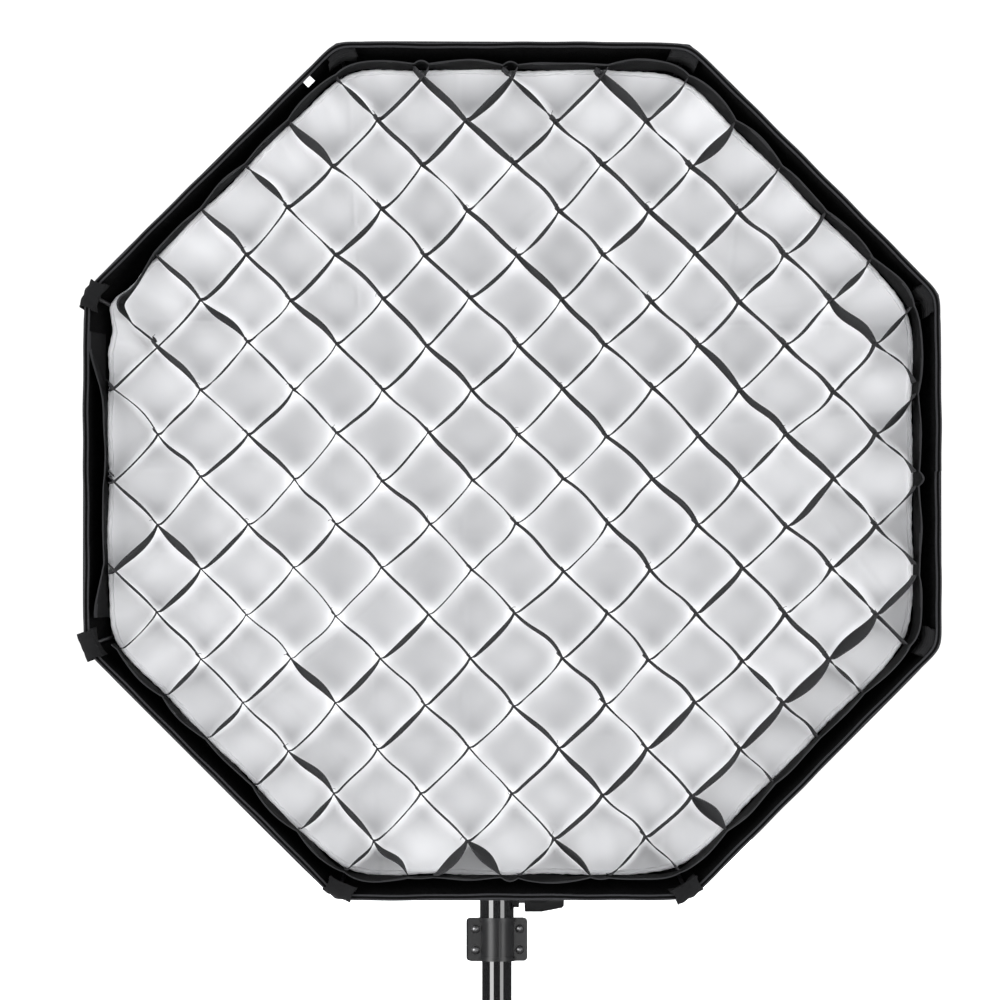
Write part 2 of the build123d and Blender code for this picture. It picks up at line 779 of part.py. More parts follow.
def umbrella_knob():
    place = Pos(-socket_body_radius - 3, 0, umbrella_height) * Rot(0, -90, 0)
    save("umbrella_knob", place * fluted_knob(small_knob_radius, small_knob_length, 8, 1.0))


def tilt_discs():
    """Toothless friction washers on both faces of the lug."""
    pieces = []
    for side in (-1, 1):
        place = Pos(side * (lug_half + disc_wall / 2), 0, tilt_height) * Rot(0, 90, 0)
        pieces.append(place * (Cylinder(lug_radius, disc_wall) - Cylinder(bolt_radius + bolt_fit, disc_wall)))
    save("tilt_discs", *pieces)


# ---- bracket: tilting part ----------------------------------------------------------------------------------------------------
ear_start = lug_half + disc_wall + disc_gap
ear_end = ear_start + ear_wall
plate_top = plate_low + plate_thickness
cradle_y = cradle_front + cradle_depth / 2


def tilt_head():
    front = -ring_plane + plate_front_gap
    plate = Pos(0, (front + plate_back) / 2, plate_low + plate_thickness / 2)
    body = plate * Box(2 * plate_half, plate_back - front, plate_thickness)
    body = fillet(body.edges().filter_by(Axis.Z), 8)
    for side in (-1, 1):
        middle = side * (ear_start + ear_end) / 2
        ear = Pos(middle, 0, tilt_height) * Rot(0, 90, 0) * Cylinder(lug_radius, ear_wall)
        rise = plate_low + 1 - tilt_height
        ear += Pos(middle, 0, tilt_height + rise / 2) * Box(ear_wall, 2 * lug_radius, rise)
        body += ear
    body -= Pos(0, 0, tilt_height) * Rot(0, 90, 0) * Cylinder(bolt_radius, 80)
    save("tilt_head", body)


def mount_ring():
    """Cast ring that takes the adapter, with a foot down to the head's plate."""
    ring = tube(mount_outer, mount_bore, -mount_thickness, 0)
    low = plate_top - axis_height
    foot = Pos(0, (low - mount_bore) / 2 - 1, -mount_thickness / 2)
    ring += foot * Box(2 * mount_foot_half, -mount_bore - low - 2, mount_thickness)
    ring -= Pos(0, 0, -mount_thickness / 2) * Cylinder(mount_bore, 2 * mount_thickness)
    angle = math.radians(latch_angle)
    out = (latch_reach * math.cos(angle), latch_reach * math.sin(angle))
    boss = Pos(out[0], out[1], -mount_thickness / 2) * Cylinder(latch_boss, mount_thickness)
    arm = Rot(0, 0, latch_angle) * (
        Pos(mount_outer, 0, -mount_thickness / 2) * Box(latch_reach - mount_outer + 4, 12, mount_thickness)
    )
    ring += boss + arm
    ring -= Pos(out[0], out[1], -mount_thickness / 2) * Cylinder(latch_pin, 2 * mount_thickness)
    save("mount_ring", optics * ring)


def mount_ring_screws():
    """Two cap screws that hold the foot to the plate from below."""
    pieces = []
    for side in (-1, 1):
        middle = -ring_plane + mount_thickness / 2
        head = Pos(side * 14, middle, plate_low - 3) * Cylinder(
            3.5, 3, align=(Align.CENTER, Align.CENTER, Align.MIN)
        )
        pieces.append(head)
    save("mount_ring_screws", *pieces)


def latch_place():
    angle = math.radians(latch_angle)
    return latch_reach * math.cos(angle), latch_reach * math.sin(angle)


def latch_lever():
    out, up = latch_place()
    low = -mount_thickness - 0.1 - latch_wall
    lever = Cylinder(latch_boss - 1, latch_wall, align=(Align.CENTER, Align.CENTER, Align.MIN))
    bar = Pos(latch_length / 2, 0, latch_wall / 2) * Box(latch_length, 9, latch_wall)
    lever += Rot(0, 0, latch_angle) * fillet(bar.edges().filter_by(Axis.Z), 3.5)
    lever -= Cylinder(latch_pin + slide_fit, 4 * latch_wall)
    save("latch_lever", optics * (Pos(out, up, low) * lever))


def latch_post():
    out, up = latch_place()
    reach = mount_thickness + 0.1 + latch_wall + 5
    pin = Pos(out, up, -reach) * Cylinder(latch_pin, reach, align=(Align.CENTER, Align.CENTER, Align.MIN))
    head = Pos(out, up, -reach) * Cylinder(latch_pin + 2, 1.2, align=(Align.CENTER, Align.CENTER, Align.MIN))
    save("latch_pin", optics * (pin + head))


def latch_spring():
    out, up = latch_place()
    high = -mount_thickness - 0.1 - latch_wall - 0.1
    coil = Circle(latch_pin + 1.6) - Circle(latch_pin + 0.4)
    save("latch_spring", optics * (Pos(out, up, high - 3.4) * extrude(coil, amount=3.4)))


def tilt_bolt():
    start = -ear_end - 4
    end = ear_end + 1
    bolt = Pos(start, 0, tilt_height) * Rot(0, 90, 0) * Cylinder(
        bolt_radius, end - start, align=(Align.CENTER, Align.CENTER, Align.MIN)
    )
    head = extrude(RegularPolygon(7.0, 6, major_radius=False), amount=4)
    bolt += Pos(start, 0, tilt_height) * Rot(0, 90, 0) * head
    save("tilt_bolt", bolt)


def tilt_lever():
    """Ratchet handle whose hub is the nut of the tilt bolt."""
    start = ear_end + 0.2
    hub = Cylinder(lever_hub, 16, align=(Align.CENTER, Align.CENTER, Align.MIN))
    hub = fillet(hub.edges().sort_by(Axis.Z)[-1:], 3)
    arm = Pos(0, 0, 10) * Rot(0, -60, 0) * Cone(
        6.0, 4.2, lever_length, align=(Align.CENTER, Align.CENTER, Align.MIN)
    )
    end = Pos(0, 0, 10) * Rot(0, -60, 0) * Pos(0, 0, lever_length) * Sphere(6.5)
    body = hub + arm + end
    body -= Pos(0, 0, -1) * Cylinder(bolt_radius + bolt_fit, 4, align=(Align.CENTER, Align.CENTER, Align.MIN))
    save("tilt_lever", Pos(start, 0, tilt_height) * Rot(0, 90, 0) * body)


def cradle_frame():
    """The frame round the flash head: foot, two posts and a top bar."""
    outer = cradle_inner + cradle_post
    high = cradle_top + cradle_bar
    frame = Pos(0, cradle_y, (plate_top + high) / 2) * Box(2 * outer, cradle_depth, high - plate_top)
    frame = fillet(frame.edges().filter_by(Axis.Y), 10)
    low = plate_top + cradle_foot
    hollow = Pos(0, cradle_y, (low + cradle_top) / 2) * Box(2 * cradle_inner, cradle_depth + 2, cradle_top - low)
    frame -= fillet(hollow.edges().filter_by(Axis.Y), 4)
    for across, radius in ((-guide_spread, guide_radius), (0, jaw_screw_radius), (guide_spread, guide_radius)):
        hole = Pos(across, cradle_y, high) * Cylinder(radius + slide_fit, 4 * cradle_bar)
        frame -= hole
    save("cradle_frame", frame)


def cradle_screws():
    pieces = []
    for side in (-1, 1):
        head = Cylinder(4.0, 3, align=(Align.CENTER, Align.CENTER, Align.MIN))
        pieces.append(Pos(side * 16, cradle_y, plate_low - 3) * head)
    save("cradle_screws", *pieces)


def vee(half, height, notch):
    """A pad with a shallow V in its top, in the plane of X and Z, as deep as the cradle."""
    line = Polyline((-half, 0), (half, 0), (half, height), (0, height - notch), (-half, height), close=True)
    return Rot(90, 0, 0) * extrude(make_face(line), amount=(cradle_depth - 4) / 2, both=True)


def lower_pad():
    save("lower_pad", Pos(0, cradle_y, plate_top + cradle_foot) * vee(pad_half, pad_height, pad_notch))


def upper_jaw():
    middle = Pos(0, cradle_y, jaw_low + jaw_height / 2)
    body = middle * Box(2 * jaw_half, cradle_depth - 4, jaw_height)
    body = fillet(body.edges().filter_by(Axis.Y), 2)
    body -= Pos(0, cradle_y, jaw_low + 3) * Cylinder(
        jaw_screw_radius + slide_fit, jaw_height, align=(Align.CENTER, Align.CENTER, Align.MIN)
    )
    save("upper_jaw", body)


def jaw_guides():
    pieces = []
    for side in (-1, 1):
        low = jaw_low + jaw_height
        pin = Cylinder(guide_radius, guide_over, align=(Align.CENTER, Align.CENTER, Align.MIN))
        pieces.append(Pos(side * guide_spread, cradle_y, low) * pin)
    save("jaw_guides", *pieces)


def jaw_pad():
    pad = Rot(0, 180, 0) * vee(pad_half, jaw_pad_height, pad_notch / 2)
    save("jaw_pad", Pos(0, cradle_y, jaw_low) * pad)


def jaw_screw():
    low = jaw_low + 3.2
    screw = Cylinder(jaw_screw_radius, jaw_screw_top - low, align=(Align.CENTER, Align.CENTER, Align.MIN))
    save("jaw_screw", Pos(0, cradle_y, low) * screw)


def jaw_knob():
    body = fluted_knob(jaw_knob_radius, jaw_knob_height, 10, 1.8)
    body -= Cylinder(jaw_screw_radius, 2 * (jaw_screw_top - jaw_knob_low))
    save("jaw_knob", Pos(0, cradle_y, jaw_knob_low) * body)


for make in (
    shell_panels, neck_cuff, lip_lining, rim_binding, corner_pockets, front_diffuser, diffuser_hem,
    inner_diffuser, inner_straps, strap_loops, fabric_grid, grid_hem, blank_tag,
    rods, rod_tips, rod_sockets, speed_ring, adapter_ring, ring_retainer,
    rotation_lock_screw, rotation_lock_knob,
    column_tube, collar_front, collar_back, collar_screws, collar_nuts, guide_bush, lock_sleeve,
    lock_shoe, lock_screw, lock_knob,
    riser_tube, riser_glide, riser_cap, riser_stud,
    stand_socket, socket_screw, socket_knob, umbrella_screw, umbrella_knob, tilt_discs,
    tilt_head, mount_ring, mount_ring_screws, latch_lever, latch_post, latch_spring,
    tilt_bolt, tilt_lever, cradle_frame, cradle_screws, lower_pad,
    upper_jaw, jaw_guides, jaw_pad, jaw_screw, jaw_knob,
):
    make()
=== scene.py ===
# An eight-sided studio softbox with a fabric grid, on a tilting flash bracket and the top of its stand.
# Metres, +Z up, the box faces -Y.  Each section below is one piece, or one group of like pieces, in the
# order in which the object goes together.
import json
import math

import bpy
import numpy as np
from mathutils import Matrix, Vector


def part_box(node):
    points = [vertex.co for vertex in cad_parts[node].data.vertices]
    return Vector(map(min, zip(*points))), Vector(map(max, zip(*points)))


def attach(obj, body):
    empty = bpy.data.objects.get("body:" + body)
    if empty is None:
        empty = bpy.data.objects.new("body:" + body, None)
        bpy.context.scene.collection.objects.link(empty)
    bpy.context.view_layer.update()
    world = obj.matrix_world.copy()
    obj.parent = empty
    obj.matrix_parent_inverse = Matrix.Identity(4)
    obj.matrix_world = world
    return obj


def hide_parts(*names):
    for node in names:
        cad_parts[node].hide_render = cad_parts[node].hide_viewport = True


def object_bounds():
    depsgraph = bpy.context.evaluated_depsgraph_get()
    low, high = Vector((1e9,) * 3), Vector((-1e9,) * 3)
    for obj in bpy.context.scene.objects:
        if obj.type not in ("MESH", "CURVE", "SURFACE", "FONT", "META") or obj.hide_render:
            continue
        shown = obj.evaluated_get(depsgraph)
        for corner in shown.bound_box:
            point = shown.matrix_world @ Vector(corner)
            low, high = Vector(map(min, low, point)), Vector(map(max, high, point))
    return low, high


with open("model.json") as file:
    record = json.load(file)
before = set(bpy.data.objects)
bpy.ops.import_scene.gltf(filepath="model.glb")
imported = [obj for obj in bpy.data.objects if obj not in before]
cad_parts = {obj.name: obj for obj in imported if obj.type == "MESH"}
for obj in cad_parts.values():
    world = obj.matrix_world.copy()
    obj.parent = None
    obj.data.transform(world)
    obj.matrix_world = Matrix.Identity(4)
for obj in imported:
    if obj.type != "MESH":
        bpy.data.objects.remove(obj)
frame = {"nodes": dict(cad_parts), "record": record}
cad_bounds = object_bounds()

# ---- studio ---------------------------------------------------------------------------------------------
# A white room with a pale floor below the stand, two soft lamps in front and one behind. The room is
# split by kind of ray: cloth is lit by a bright one, the camera sees a white one, and shiny surfaces
# see a dark one and no floor, so black metal and plastic stay black.
scene = bpy.context.scene
scene.view_settings.view_transform = "Standard"
rim_low, rim_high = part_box("rim_binding")
axis_height = (rim_low.z + rim_high.z) / 2
rim_front = rim_low.y
floor_drop = 0.32


def nodes_of(name):
    """A new material's node tree, its principled shader, and the material."""
    material = bpy.data.materials.new(name)
    material.use_nodes = True
    tree = material.node_tree
    return material, tree, tree.nodes["Principled BSDF"]


def set_values(node, **inputs):
    """Sets a node's input values by name; an underscore stands for a space."""
    for key, value in inputs.items():
        node.inputs[key.replace("_", " ")].default_value = value


def add_node(tree, kind, **inputs):
    """A new node with some of its input values set."""
    node = tree.nodes.new(kind)
    set_values(node, **inputs)
    return node


def wire(tree, *links):
    """Links of (node, its output, next node, its input), made in order."""
    for source, output, target, entry in links:
        tree.links.new(source.outputs[output], target.inputs[entry])


floor_size = 40.0
floor_mesh = bpy.data.meshes.new("studio_floor")
half = floor_size / 2
floor_level = cad_bounds[0][2] - floor_drop
floor_corners = [(-half, -half), (half, -half), (half, half), (-half, half)]
floor_mesh.from_pydata([(x, y, floor_level) for x, y in floor_corners], [], [(0, 1, 2, 3)])
floor = bpy.data.objects.new("studio_floor", floor_mesh)
scene.collection.objects.link(floor)
floor_paint, _, floor_shader = nodes_of("floor_paint")
set_values(floor_shader, Base_Color=(0.93, 0.93, 0.93, 1), Roughness=0.9)
set_values(floor_shader, Emission_Color=(1, 1, 1, 1), Emission_Strength=0.45)
floor_mesh.materials.append(floor_paint)
floor.visible_glossy = False

world = bpy.data.worlds.new("white_room")
scene.world = world
world.use_nodes = True
world_tree = world.node_tree
for node in list(world_tree.nodes):
    world_tree.nodes.remove(node)
room_glow = add_node(world_tree, "ShaderNodeBackground", Color=(0.97, 0.98, 1.0, 1), Strength=1.95)
room_seen = add_node(world_tree, "ShaderNodeBackground", Color=(1, 1, 1, 1), Strength=1.1)
room_shine = add_node(world_tree, "ShaderNodeBackground", Color=(1, 1, 1, 1), Strength=0.07)
ray_kind = world_tree.nodes.new("ShaderNodeLightPath")
shine_mix = world_tree.nodes.new("ShaderNodeMixShader")
room_mix = world_tree.nodes.new("ShaderNodeMixShader")
room_out = world_tree.nodes.new("ShaderNodeOutputWorld")
wire(
    world_tree,
    (ray_kind, "Is Glossy Ray", shine_mix, 0),
    (room_glow, 0, shine_mix, 1),
    (room_shine, 0, shine_mix, 2),
    (ray_kind, "Is Camera Ray", room_mix, 0),
    (shine_mix, 0, room_mix, 1),
    (room_seen, 0, room_mix, 2),
    (room_mix, 0, room_out, 0),
)


def lamp(name, place, aim, size, power):
    """A rectangular soft lamp at a place, facing a point."""
    data = bpy.data.lights.new(name, "AREA")
    data.shape = "RECTANGLE"
    data.size, data.size_y = size
    data.energy = power
    light = bpy.data.objects.new(name, data)
    scene.collection.objects.link(light)
    light.location = place
    away = np.array(place, float) - np.array(aim, float)
    away /= np.linalg.norm(away)
    turn = math.atan2(away[0], -away[1])
    rise = math.asin(away[2])
    light.rotation_euler = (math.pi / 2 - rise, 0, turn)


box_middle = (0.0, rim_front, axis_height)
lamp("left_lamp", (-2.0, rim_front - 1.75, axis_height - 0.05), box_middle, (1.6, 1.75), 35)
lamp("right_lamp", (1.85, rim_front - 2.1, axis_height - 0.05), box_middle, (1.5, 1.9), 21)
lamp("back_lamp", (0.6, 3.6, 2.6), (0, 0, 0.5), (2.0, 1.6), 60)

camera_distance = 7.0
view_width = 1.105
aside, below = math.radians(-2.2), math.radians(-1.5)
right = np.array([math.cos(aside), math.sin(aside), 0.0])
back = np.array([math.sin(aside) * math.cos(below), -math.cos(aside) * math.cos(below), math.sin(below)])
up = np.cross(back, right)
rim_off_centre = (0.0149, 0.0331)
target = np.array([0, rim_front, axis_height]) - rim_off_centre[0] * right - rim_off_centre[1] * up
camera_data = bpy.data.cameras.new("studio_camera")
camera_data.sensor_width = 36.0
camera_data.lens = camera_data.sensor_width * camera_distance / view_width
camera_data.clip_end = 100
camera = bpy.data.objects.new("studio_camera", camera_data)
scene.collection.objects.link(camera)
camera.location = target + back * camera_distance
camera.rotation_euler = (math.pi / 2 - below, 0, aside)
scene.camera = camera

# ---- canopy ---------------------------------------------------------------------------------------------
# The shell: eight gores of black coated nylon with a silver inside, sewn edge to edge along the rods and
# pulled in a little between them, and an elastic cuff that draws the neck over the speed ring.
side_count = 8
side_angle = 2 * math.pi / side_count
half_angle = side_angle / 2
ring_back_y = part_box("mount_ring")[0].y
half_flats = (rim_high.x - rim_low.x) / 2
rim_corner = half_flats / math.cos(half_angle)
rim_depth = ring_back_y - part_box("rim_binding")[1].y
neck_corner, neck_depth = 0.1000, ring_back_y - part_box("shell_panels")[1].y
rod_bow = 0.070
shell_wall = 0.0011
gore_pull = 0.007
gore_across, gore_along = 25, 64

chord_out, chord_forward = rim_corner - neck_corner, rim_depth - neck_depth
chord = math.hypot(chord_out, chord_forward)
bend_radius = chord * chord / (8 * rod_bow) + rod_bow / 2
chord_angle = math.atan2(chord_forward, chord_out)
half_sweep = math.asin(chord / 2 / bend_radius)
centre_out = (neck_corner + rim_corner) / 2 - (bend_radius - rod_bow) * math.sin(chord_angle)
centre_forward = (neck_depth + rim_depth) / 2 + (bend_radius - rod_bow) * math.cos(chord_angle)


def bend(share, inset=0.0):
    """Corner line of the shell: an arc of one circle, from the neck (share 0) to the rim (share 1)."""
    angle = chord_angle - math.pi / 2 + (2 * share - 1) * half_sweep
    reach = bend_radius - inset
    return centre_out + reach * np.cos(angle), centre_forward + reach * np.sin(angle)


def bend_depth_to_corner(forward, inset=0.0):
    """Corner radius of the shell at a distance in front of the ring, from the circle's equation."""
    reach = bend_radius - inset
    return centre_out + np.sqrt(reach * reach - (forward - centre_forward) ** 2)


def at(across, rise, forward):
    """Points in the model's frame from (right, up, forwards), all measured from the optical axis."""
    across, rise, forward = np.broadcast_arrays(across, rise, forward)
    return np.stack([across, ring_back_y - forward, axis_height + rise], axis=-1)


def turned(out, side, forward, turn):
    """Points from (outwards, sideways, forwards) along a direction at an angle round the axis."""
    return at(
        out * math.cos(turn) - side * math.sin(turn),
        out * math.sin(turn) + side * math.cos(turn),
        forward,
    )


def around(theta, reach, forward):
    """Points from (angle round the axis, radius, forwards)."""
    return at(reach * np.cos(theta), reach * np.sin(theta), forward)


def ripples(seed, count, low, high):
    """A sum of sine waves with seeded directions and phases: f(a, b), about -1 to 1."""
    draw = np.random.default_rng(seed)
    turn = draw.uniform(0, math.pi, count)
    pitch = draw.uniform(low, high, count)
    phase = draw.uniform(0, 2 * math.pi, count)

    def wave(a, b):
        total = 0
        for t, p, s in zip(turn, pitch, phase):
            total = total + np.sin((a * math.cos(t) + b * math.sin(t)) * 2 * math.pi / p + s)
        return total / math.sqrt(count)

    return wave


def slab_faces(rows, columns, first):
    """Quads of a closed slab made of two grids of points, front then back, joined round the edge."""
    a = first + np.arange(rows * columns).reshape(rows, columns)
    b = a + rows * columns
    quads = [np.stack([a[:-1, :-1], a[1:, :-1], a[1:, 1:], a[:-1, 1:]], -1).reshape(-1, 4)]
    quads.append(np.stack([b[:-1, :-1], b[:-1, 1:], b[1:, 1:], b[1:, :-1]], -1).reshape(-1, 4))
    ring_a = np.concatenate([a[:, 0], a[-1, 1:], a[-2::-1, -1], a[0, -2:0:-1]])
    ring_b = ring_a + rows * columns
    quads.append(np.stack([ring_a, ring_b, np.roll(ring_b, -1), np.roll(ring_a, -1)], -1))
    return np.concatenate(quads)


def loop_faces(rows, columns, first):
    """Quads of a tube closed both ways: rows run along the loop, columns round the profile."""
    a = first + np.arange(rows * columns).reshape(rows, columns)
    ahead, beside = np.roll(a, -1, 0), np.roll(a, -1, 1)
    both = np.roll(ahead, -1, 1)
    return np.stack([a, ahead, both, beside], -1).reshape(-1, 4)


def make_piece(name, points, faces, material, body, smooth=True):
    """A mesh object from points and quads, with its faces turned outwards by its signed volume."""
    corner = points[faces]
    volume = np.einsum("ij,ij->i", corner[:, 0], np.cross(corner[:, 1], corner[:, 2])).sum()
    volume += np.einsum("ij,ij->i", corner[:, 0], np.cross(corner[:, 2], corner[:, 3])).sum()
    if volume < 0:
        faces = faces[:, ::-1]
    mesh = bpy.data.meshes.new(name)
    mesh.from_pydata(points.tolist(), [], faces.tolist())
    mesh.polygons.foreach_set("use_smooth", np.full(len(faces), smooth))
    mesh.materials.append(material)
    mesh.update()
    piece = bpy.data.objects.new(name, mesh)
    scene.collection.objects.link(piece)
    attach(piece, body)
    return piece


def slabs(name, pairs, material, body):
    """One piece from a list of (front grid, back grid) pairs of points."""
    points, faces, first = [], [], 0
    for front, behind in pairs:
        rows, columns = front.shape[:2]
        points += [front.reshape(-1, 3), behind.reshape(-1, 3)]
        faces.append(slab_faces(rows, columns, first))
        first += 2 * rows * columns
    return make_piece(name, np.concatenate(points), np.concatenate(faces), material, body)


def cloth_finish(name, colour, roughness, weave, weave_depth, mottle, sheen=0.0, gloss=0.35):
    """Woven cloth: two crossed wave patterns for the threads, and soft noise for the colour."""
    material, tree, shader = nodes_of(name)
    place = tree.nodes.new("ShaderNodeTexCoord")
    cloud = add_node(tree, "ShaderNodeTexNoise", Scale=14.0, Detail=5.0, Roughness=0.6)
    shade = tree.nodes.new("ShaderNodeMix")
    shade.data_type = "RGBA"
    shade.inputs["A"].default_value = (*[c * (1 - mottle) for c in colour], 1)
    shade.inputs["B"].default_value = (*[min(1.0, c * (1 + mottle)) for c in colour], 1)
    wire(
        tree,
        (place, "Object", cloud, "Vector"),
        (cloud, "Fac", shade, "Factor"),
        (shade, "Result", shader, "Base Color"),
    )
    warp = add_node(tree, "ShaderNodeTexWave", Scale=weave, Distortion=0.6, Detail=1.0)
    weft = add_node(tree, "ShaderNodeTexWave", Scale=weave, Distortion=0.6, Detail=1.0)
    warp.bands_direction, weft.bands_direction = "X", "Z"
    crossed = tree.nodes.new("ShaderNodeMath")
    fuzz = add_node(tree, "ShaderNodeTexNoise", Scale=900.0, Detail=3.0)
    raised = tree.nodes.new("ShaderNodeMath")
    crossed.operation = raised.operation = "ADD"
    bump = add_node(tree, "ShaderNodeBump", Strength=0.5, Distance=weave_depth)
    wire(
        tree,
        (place, "Object", warp, "Vector"),
        (place, "Object", weft, "Vector"),
        (place, "Object", fuzz, "Vector"),
        (warp, "Fac", crossed, 0),
        (weft, "Fac", crossed, 1),
        (crossed, 0, raised, 0),
        (fuzz, "Fac", raised, 1),
        (raised, 0, bump, "Height"),
        (bump, "Normal", shader, "Normal"),
    )
    set_values(shader, Roughness=roughness, Sheen_Weight=sheen, Specular_IOR_Level=gloss)
    return material


shell_cloth = cloth_finish("black_coated_nylon", (0.014, 0.014, 0.016), 0.55, 420, 0.0002, 0.25, sheen=0.15)
silver_cloth, silver_tree, silver_shader = nodes_of("silver_lining")
silver_place = silver_tree.nodes.new("ShaderNodeTexCoord")
silver_cells = add_node(silver_tree, "ShaderNodeTexVoronoi", Scale=160.0)
silver_bump = add_node(silver_tree, "ShaderNodeBump", Strength=0.4, Distance=0.0006)
wire(
    silver_tree,
    (silver_place, "Object", silver_cells, "Vector"),
    (silver_cells, "Distance", silver_bump, "Height"),
    (silver_bump, "Normal", silver_shader, "Normal"),
)
set_values(silver_shader, Base_Color=(0.75, 0.75, 0.76, 1), Metallic=1.0, Roughness=0.38)


def gore_surface(side, wall):
    """A straight line between two corner lines, pulled in by a parabola across and a half sine along
    that ends where the lip lining holds the cloth taut; shallow ripples fade out in the same way.
    High powers of both round the rim's corners."""
    t = np.linspace(-1, 1, gore_across)[:, None]
    share = np.linspace(0, 1, gore_along)[None, :]
    out, forward = bend(share, wall)
    slack = np.sin(math.pi * np.minimum(share / taut_share, 1.0)) * (1 - t * t)
    sag = gore_pull * slack
    long_ripple = gore_ripple(t * 0.3 + side, share * 0.9)
    short_ripple = gore_ripple(t * 0.9, share * 2.3 + side)
    pucker = 0.0016 * (long_ripple + 0.5 * short_ripple) * slack
    out = out * (1 - 0.009 * np.abs(t) ** 14 * share**30)
    flat_out = out * math.cos(half_angle) - (sag + pucker) * 0.75
    forward = forward + (sag + pucker) * 0.6 * (1 - share)
    along = out * math.sin(half_angle) * t
    return turned(flat_out, along, forward, side * side_angle)


gore_ripple = ripples(11, 7, 0.08, 0.35)
lip_back = ring_back_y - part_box("lip_lining")[1].y
lip_angle = math.asin((lip_back - centre_forward) / bend_radius)
taut_share = ((lip_angle - chord_angle + math.pi / 2) / half_sweep + 1) / 2 - 0.02
gores = [(gore_surface(side, 0.0), gore_surface(side, shell_wall)) for side in range(side_count)]
canopy = slabs("canopy", gores, shell_cloth, "softbox")
canopy.data.materials.append(silver_cloth)
inner_face = np.zeros(len(canopy.data.polygons), np.int32)
quads_each = len(inner_face) // side_count
rows, columns = gore_across - 1, gore_along - 1
front_quads = rows * columns
silver_quads = np.broadcast_to(np.arange(columns) < taut_share * columns, (rows, columns)).reshape(-1)
for side in range(side_count):
    start = side * quads_each + front_quads
    inner_face[start : start + front_quads] = silver_quads
canopy.data.polygons.foreach_set("material_index", inner_face)
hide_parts("shell_panels")

# The cuff is a short cone with elastic gathers round its free edge.
cuff_low = ring_back_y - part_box("neck_cuff")[1].y
cuff_corner = 0.0845
cuff_turns, cuff_rows = 192, 7


def cuff_surface(wall):
    """A cone whose corner radius grows forwards; its free edge is gathered by a fine sine wave."""
    theta = np.linspace(0, 2 * math.pi, cuff_turns, endpoint=False)[:, None]
    share = np.linspace(0, 1, cuff_rows)[None, :]
    corner = cuff_corner + (neck_corner - cuff_corner) * share - wall
    side_turn = (theta + half_angle) % side_angle - half_angle
    reach = corner * math.cos(half_angle) / np.cos(side_turn)
    reach = reach + 0.0007 * np.sin(theta * 64) * (1 - share)
    return around(theta, reach, cuff_low + (neck_depth - cuff_low) * share)


def band_loop(name, front, behind, material, body):
    """A closed band: the front grid's columns run out and the back grid's run home, round the profile."""
    whole = np.concatenate([front, behind[:, ::-1]], axis=1)
    rows, columns = whole.shape[:2]
    return make_piece(name, whole.reshape(-1, 3), loop_faces(rows, columns, 0), material, body)


cuff = band_loop("neck_cuff_cloth", cuff_surface(0.0), cuff_surface(0.0014), shell_cloth, "softbox")
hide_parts("neck_cuff")

# ---- rod channels -----------------------------------------------------------------------------------------
# Eight strips of black webbing sewn over the seams outside, each stitched down along both edges to make
# the channel in which a rod lies.
tape_half, tape_stand, tape_wall = 0.009, 0.0009, 0.0012
webbing = cloth_finish("black_webbing", (0.022, 0.022, 0.024), 0.7, 300, 0.0004, 0.3, sheen=0.2)


def seam_tape(corner_turn, lift):
    """A narrow strip along a corner line, folded over the corner like a low roof with a round ridge."""
    s = np.linspace(-1, 1, 9)[:, None] * tape_half
    share = np.linspace(0.004, 0.985, 90)[None, :]
    out, forward = bend(share, -lift)
    ridge = np.sqrt(s * s + 0.002**2) * math.tan(half_angle)
    return turned(out - ridge, s, forward, corner_turn)


tapes = []
for corner in range(side_count):
    corner_turn = half_angle + corner * side_angle
    tapes.append((seam_tape(corner_turn, tape_stand + tape_wall), seam_tape(corner_turn, tape_stand)))
seam_tapes = slabs("seam_tapes", tapes, webbing, "softbox")

# ---- lip lining -------------------------------------------------------------------------------------------
# A band of black loop pile sewn round the inside of the rim, to which the diffuser and the grid are
# pressed by their hook tape.
lip_wall = 0.0014
lip_turns, lip_rows = 1536, 22
pile = ripples(5, 9, 0.0016, 0.004)
lip_wave = ripples(6, 5, 0.05, 0.16)


def rounded_sides(theta, flats, sharpness):
    """Radius of an eight-sided outline with rounded corners: flats over the power mean of its cosines."""
    total = 0
    for side in range(side_count):
        total = total + np.clip(np.cos(theta - side * side_angle), 0, None) ** sharpness
    return flats / total ** (1 / sharpness)


def lip_surface(wall):
    """The shell's own flare near the rim, less its wall, roughened by the pile."""
    theta = np.linspace(0, 2 * math.pi, lip_turns, endpoint=False)[:, None]
    share = np.linspace(0, 1, lip_rows)[None, :]
    forward = lip_back + (rim_depth + 0.002 - lip_back) * share
    flats = bend_depth_to_corner(np.minimum(forward, rim_depth)) * math.cos(half_angle) - 0.0016
    reach = rounded_sides(theta, 1.0, 160) * (flats - wall)
    if wall:
        tufts = 0.00035 * pile(theta * 0.47, forward)
        slack = 0.0008 * (1 + lip_wave(theta * 0.47, forward)) * share
        reach = reach - tufts - slack
    return around(theta, reach, forward)


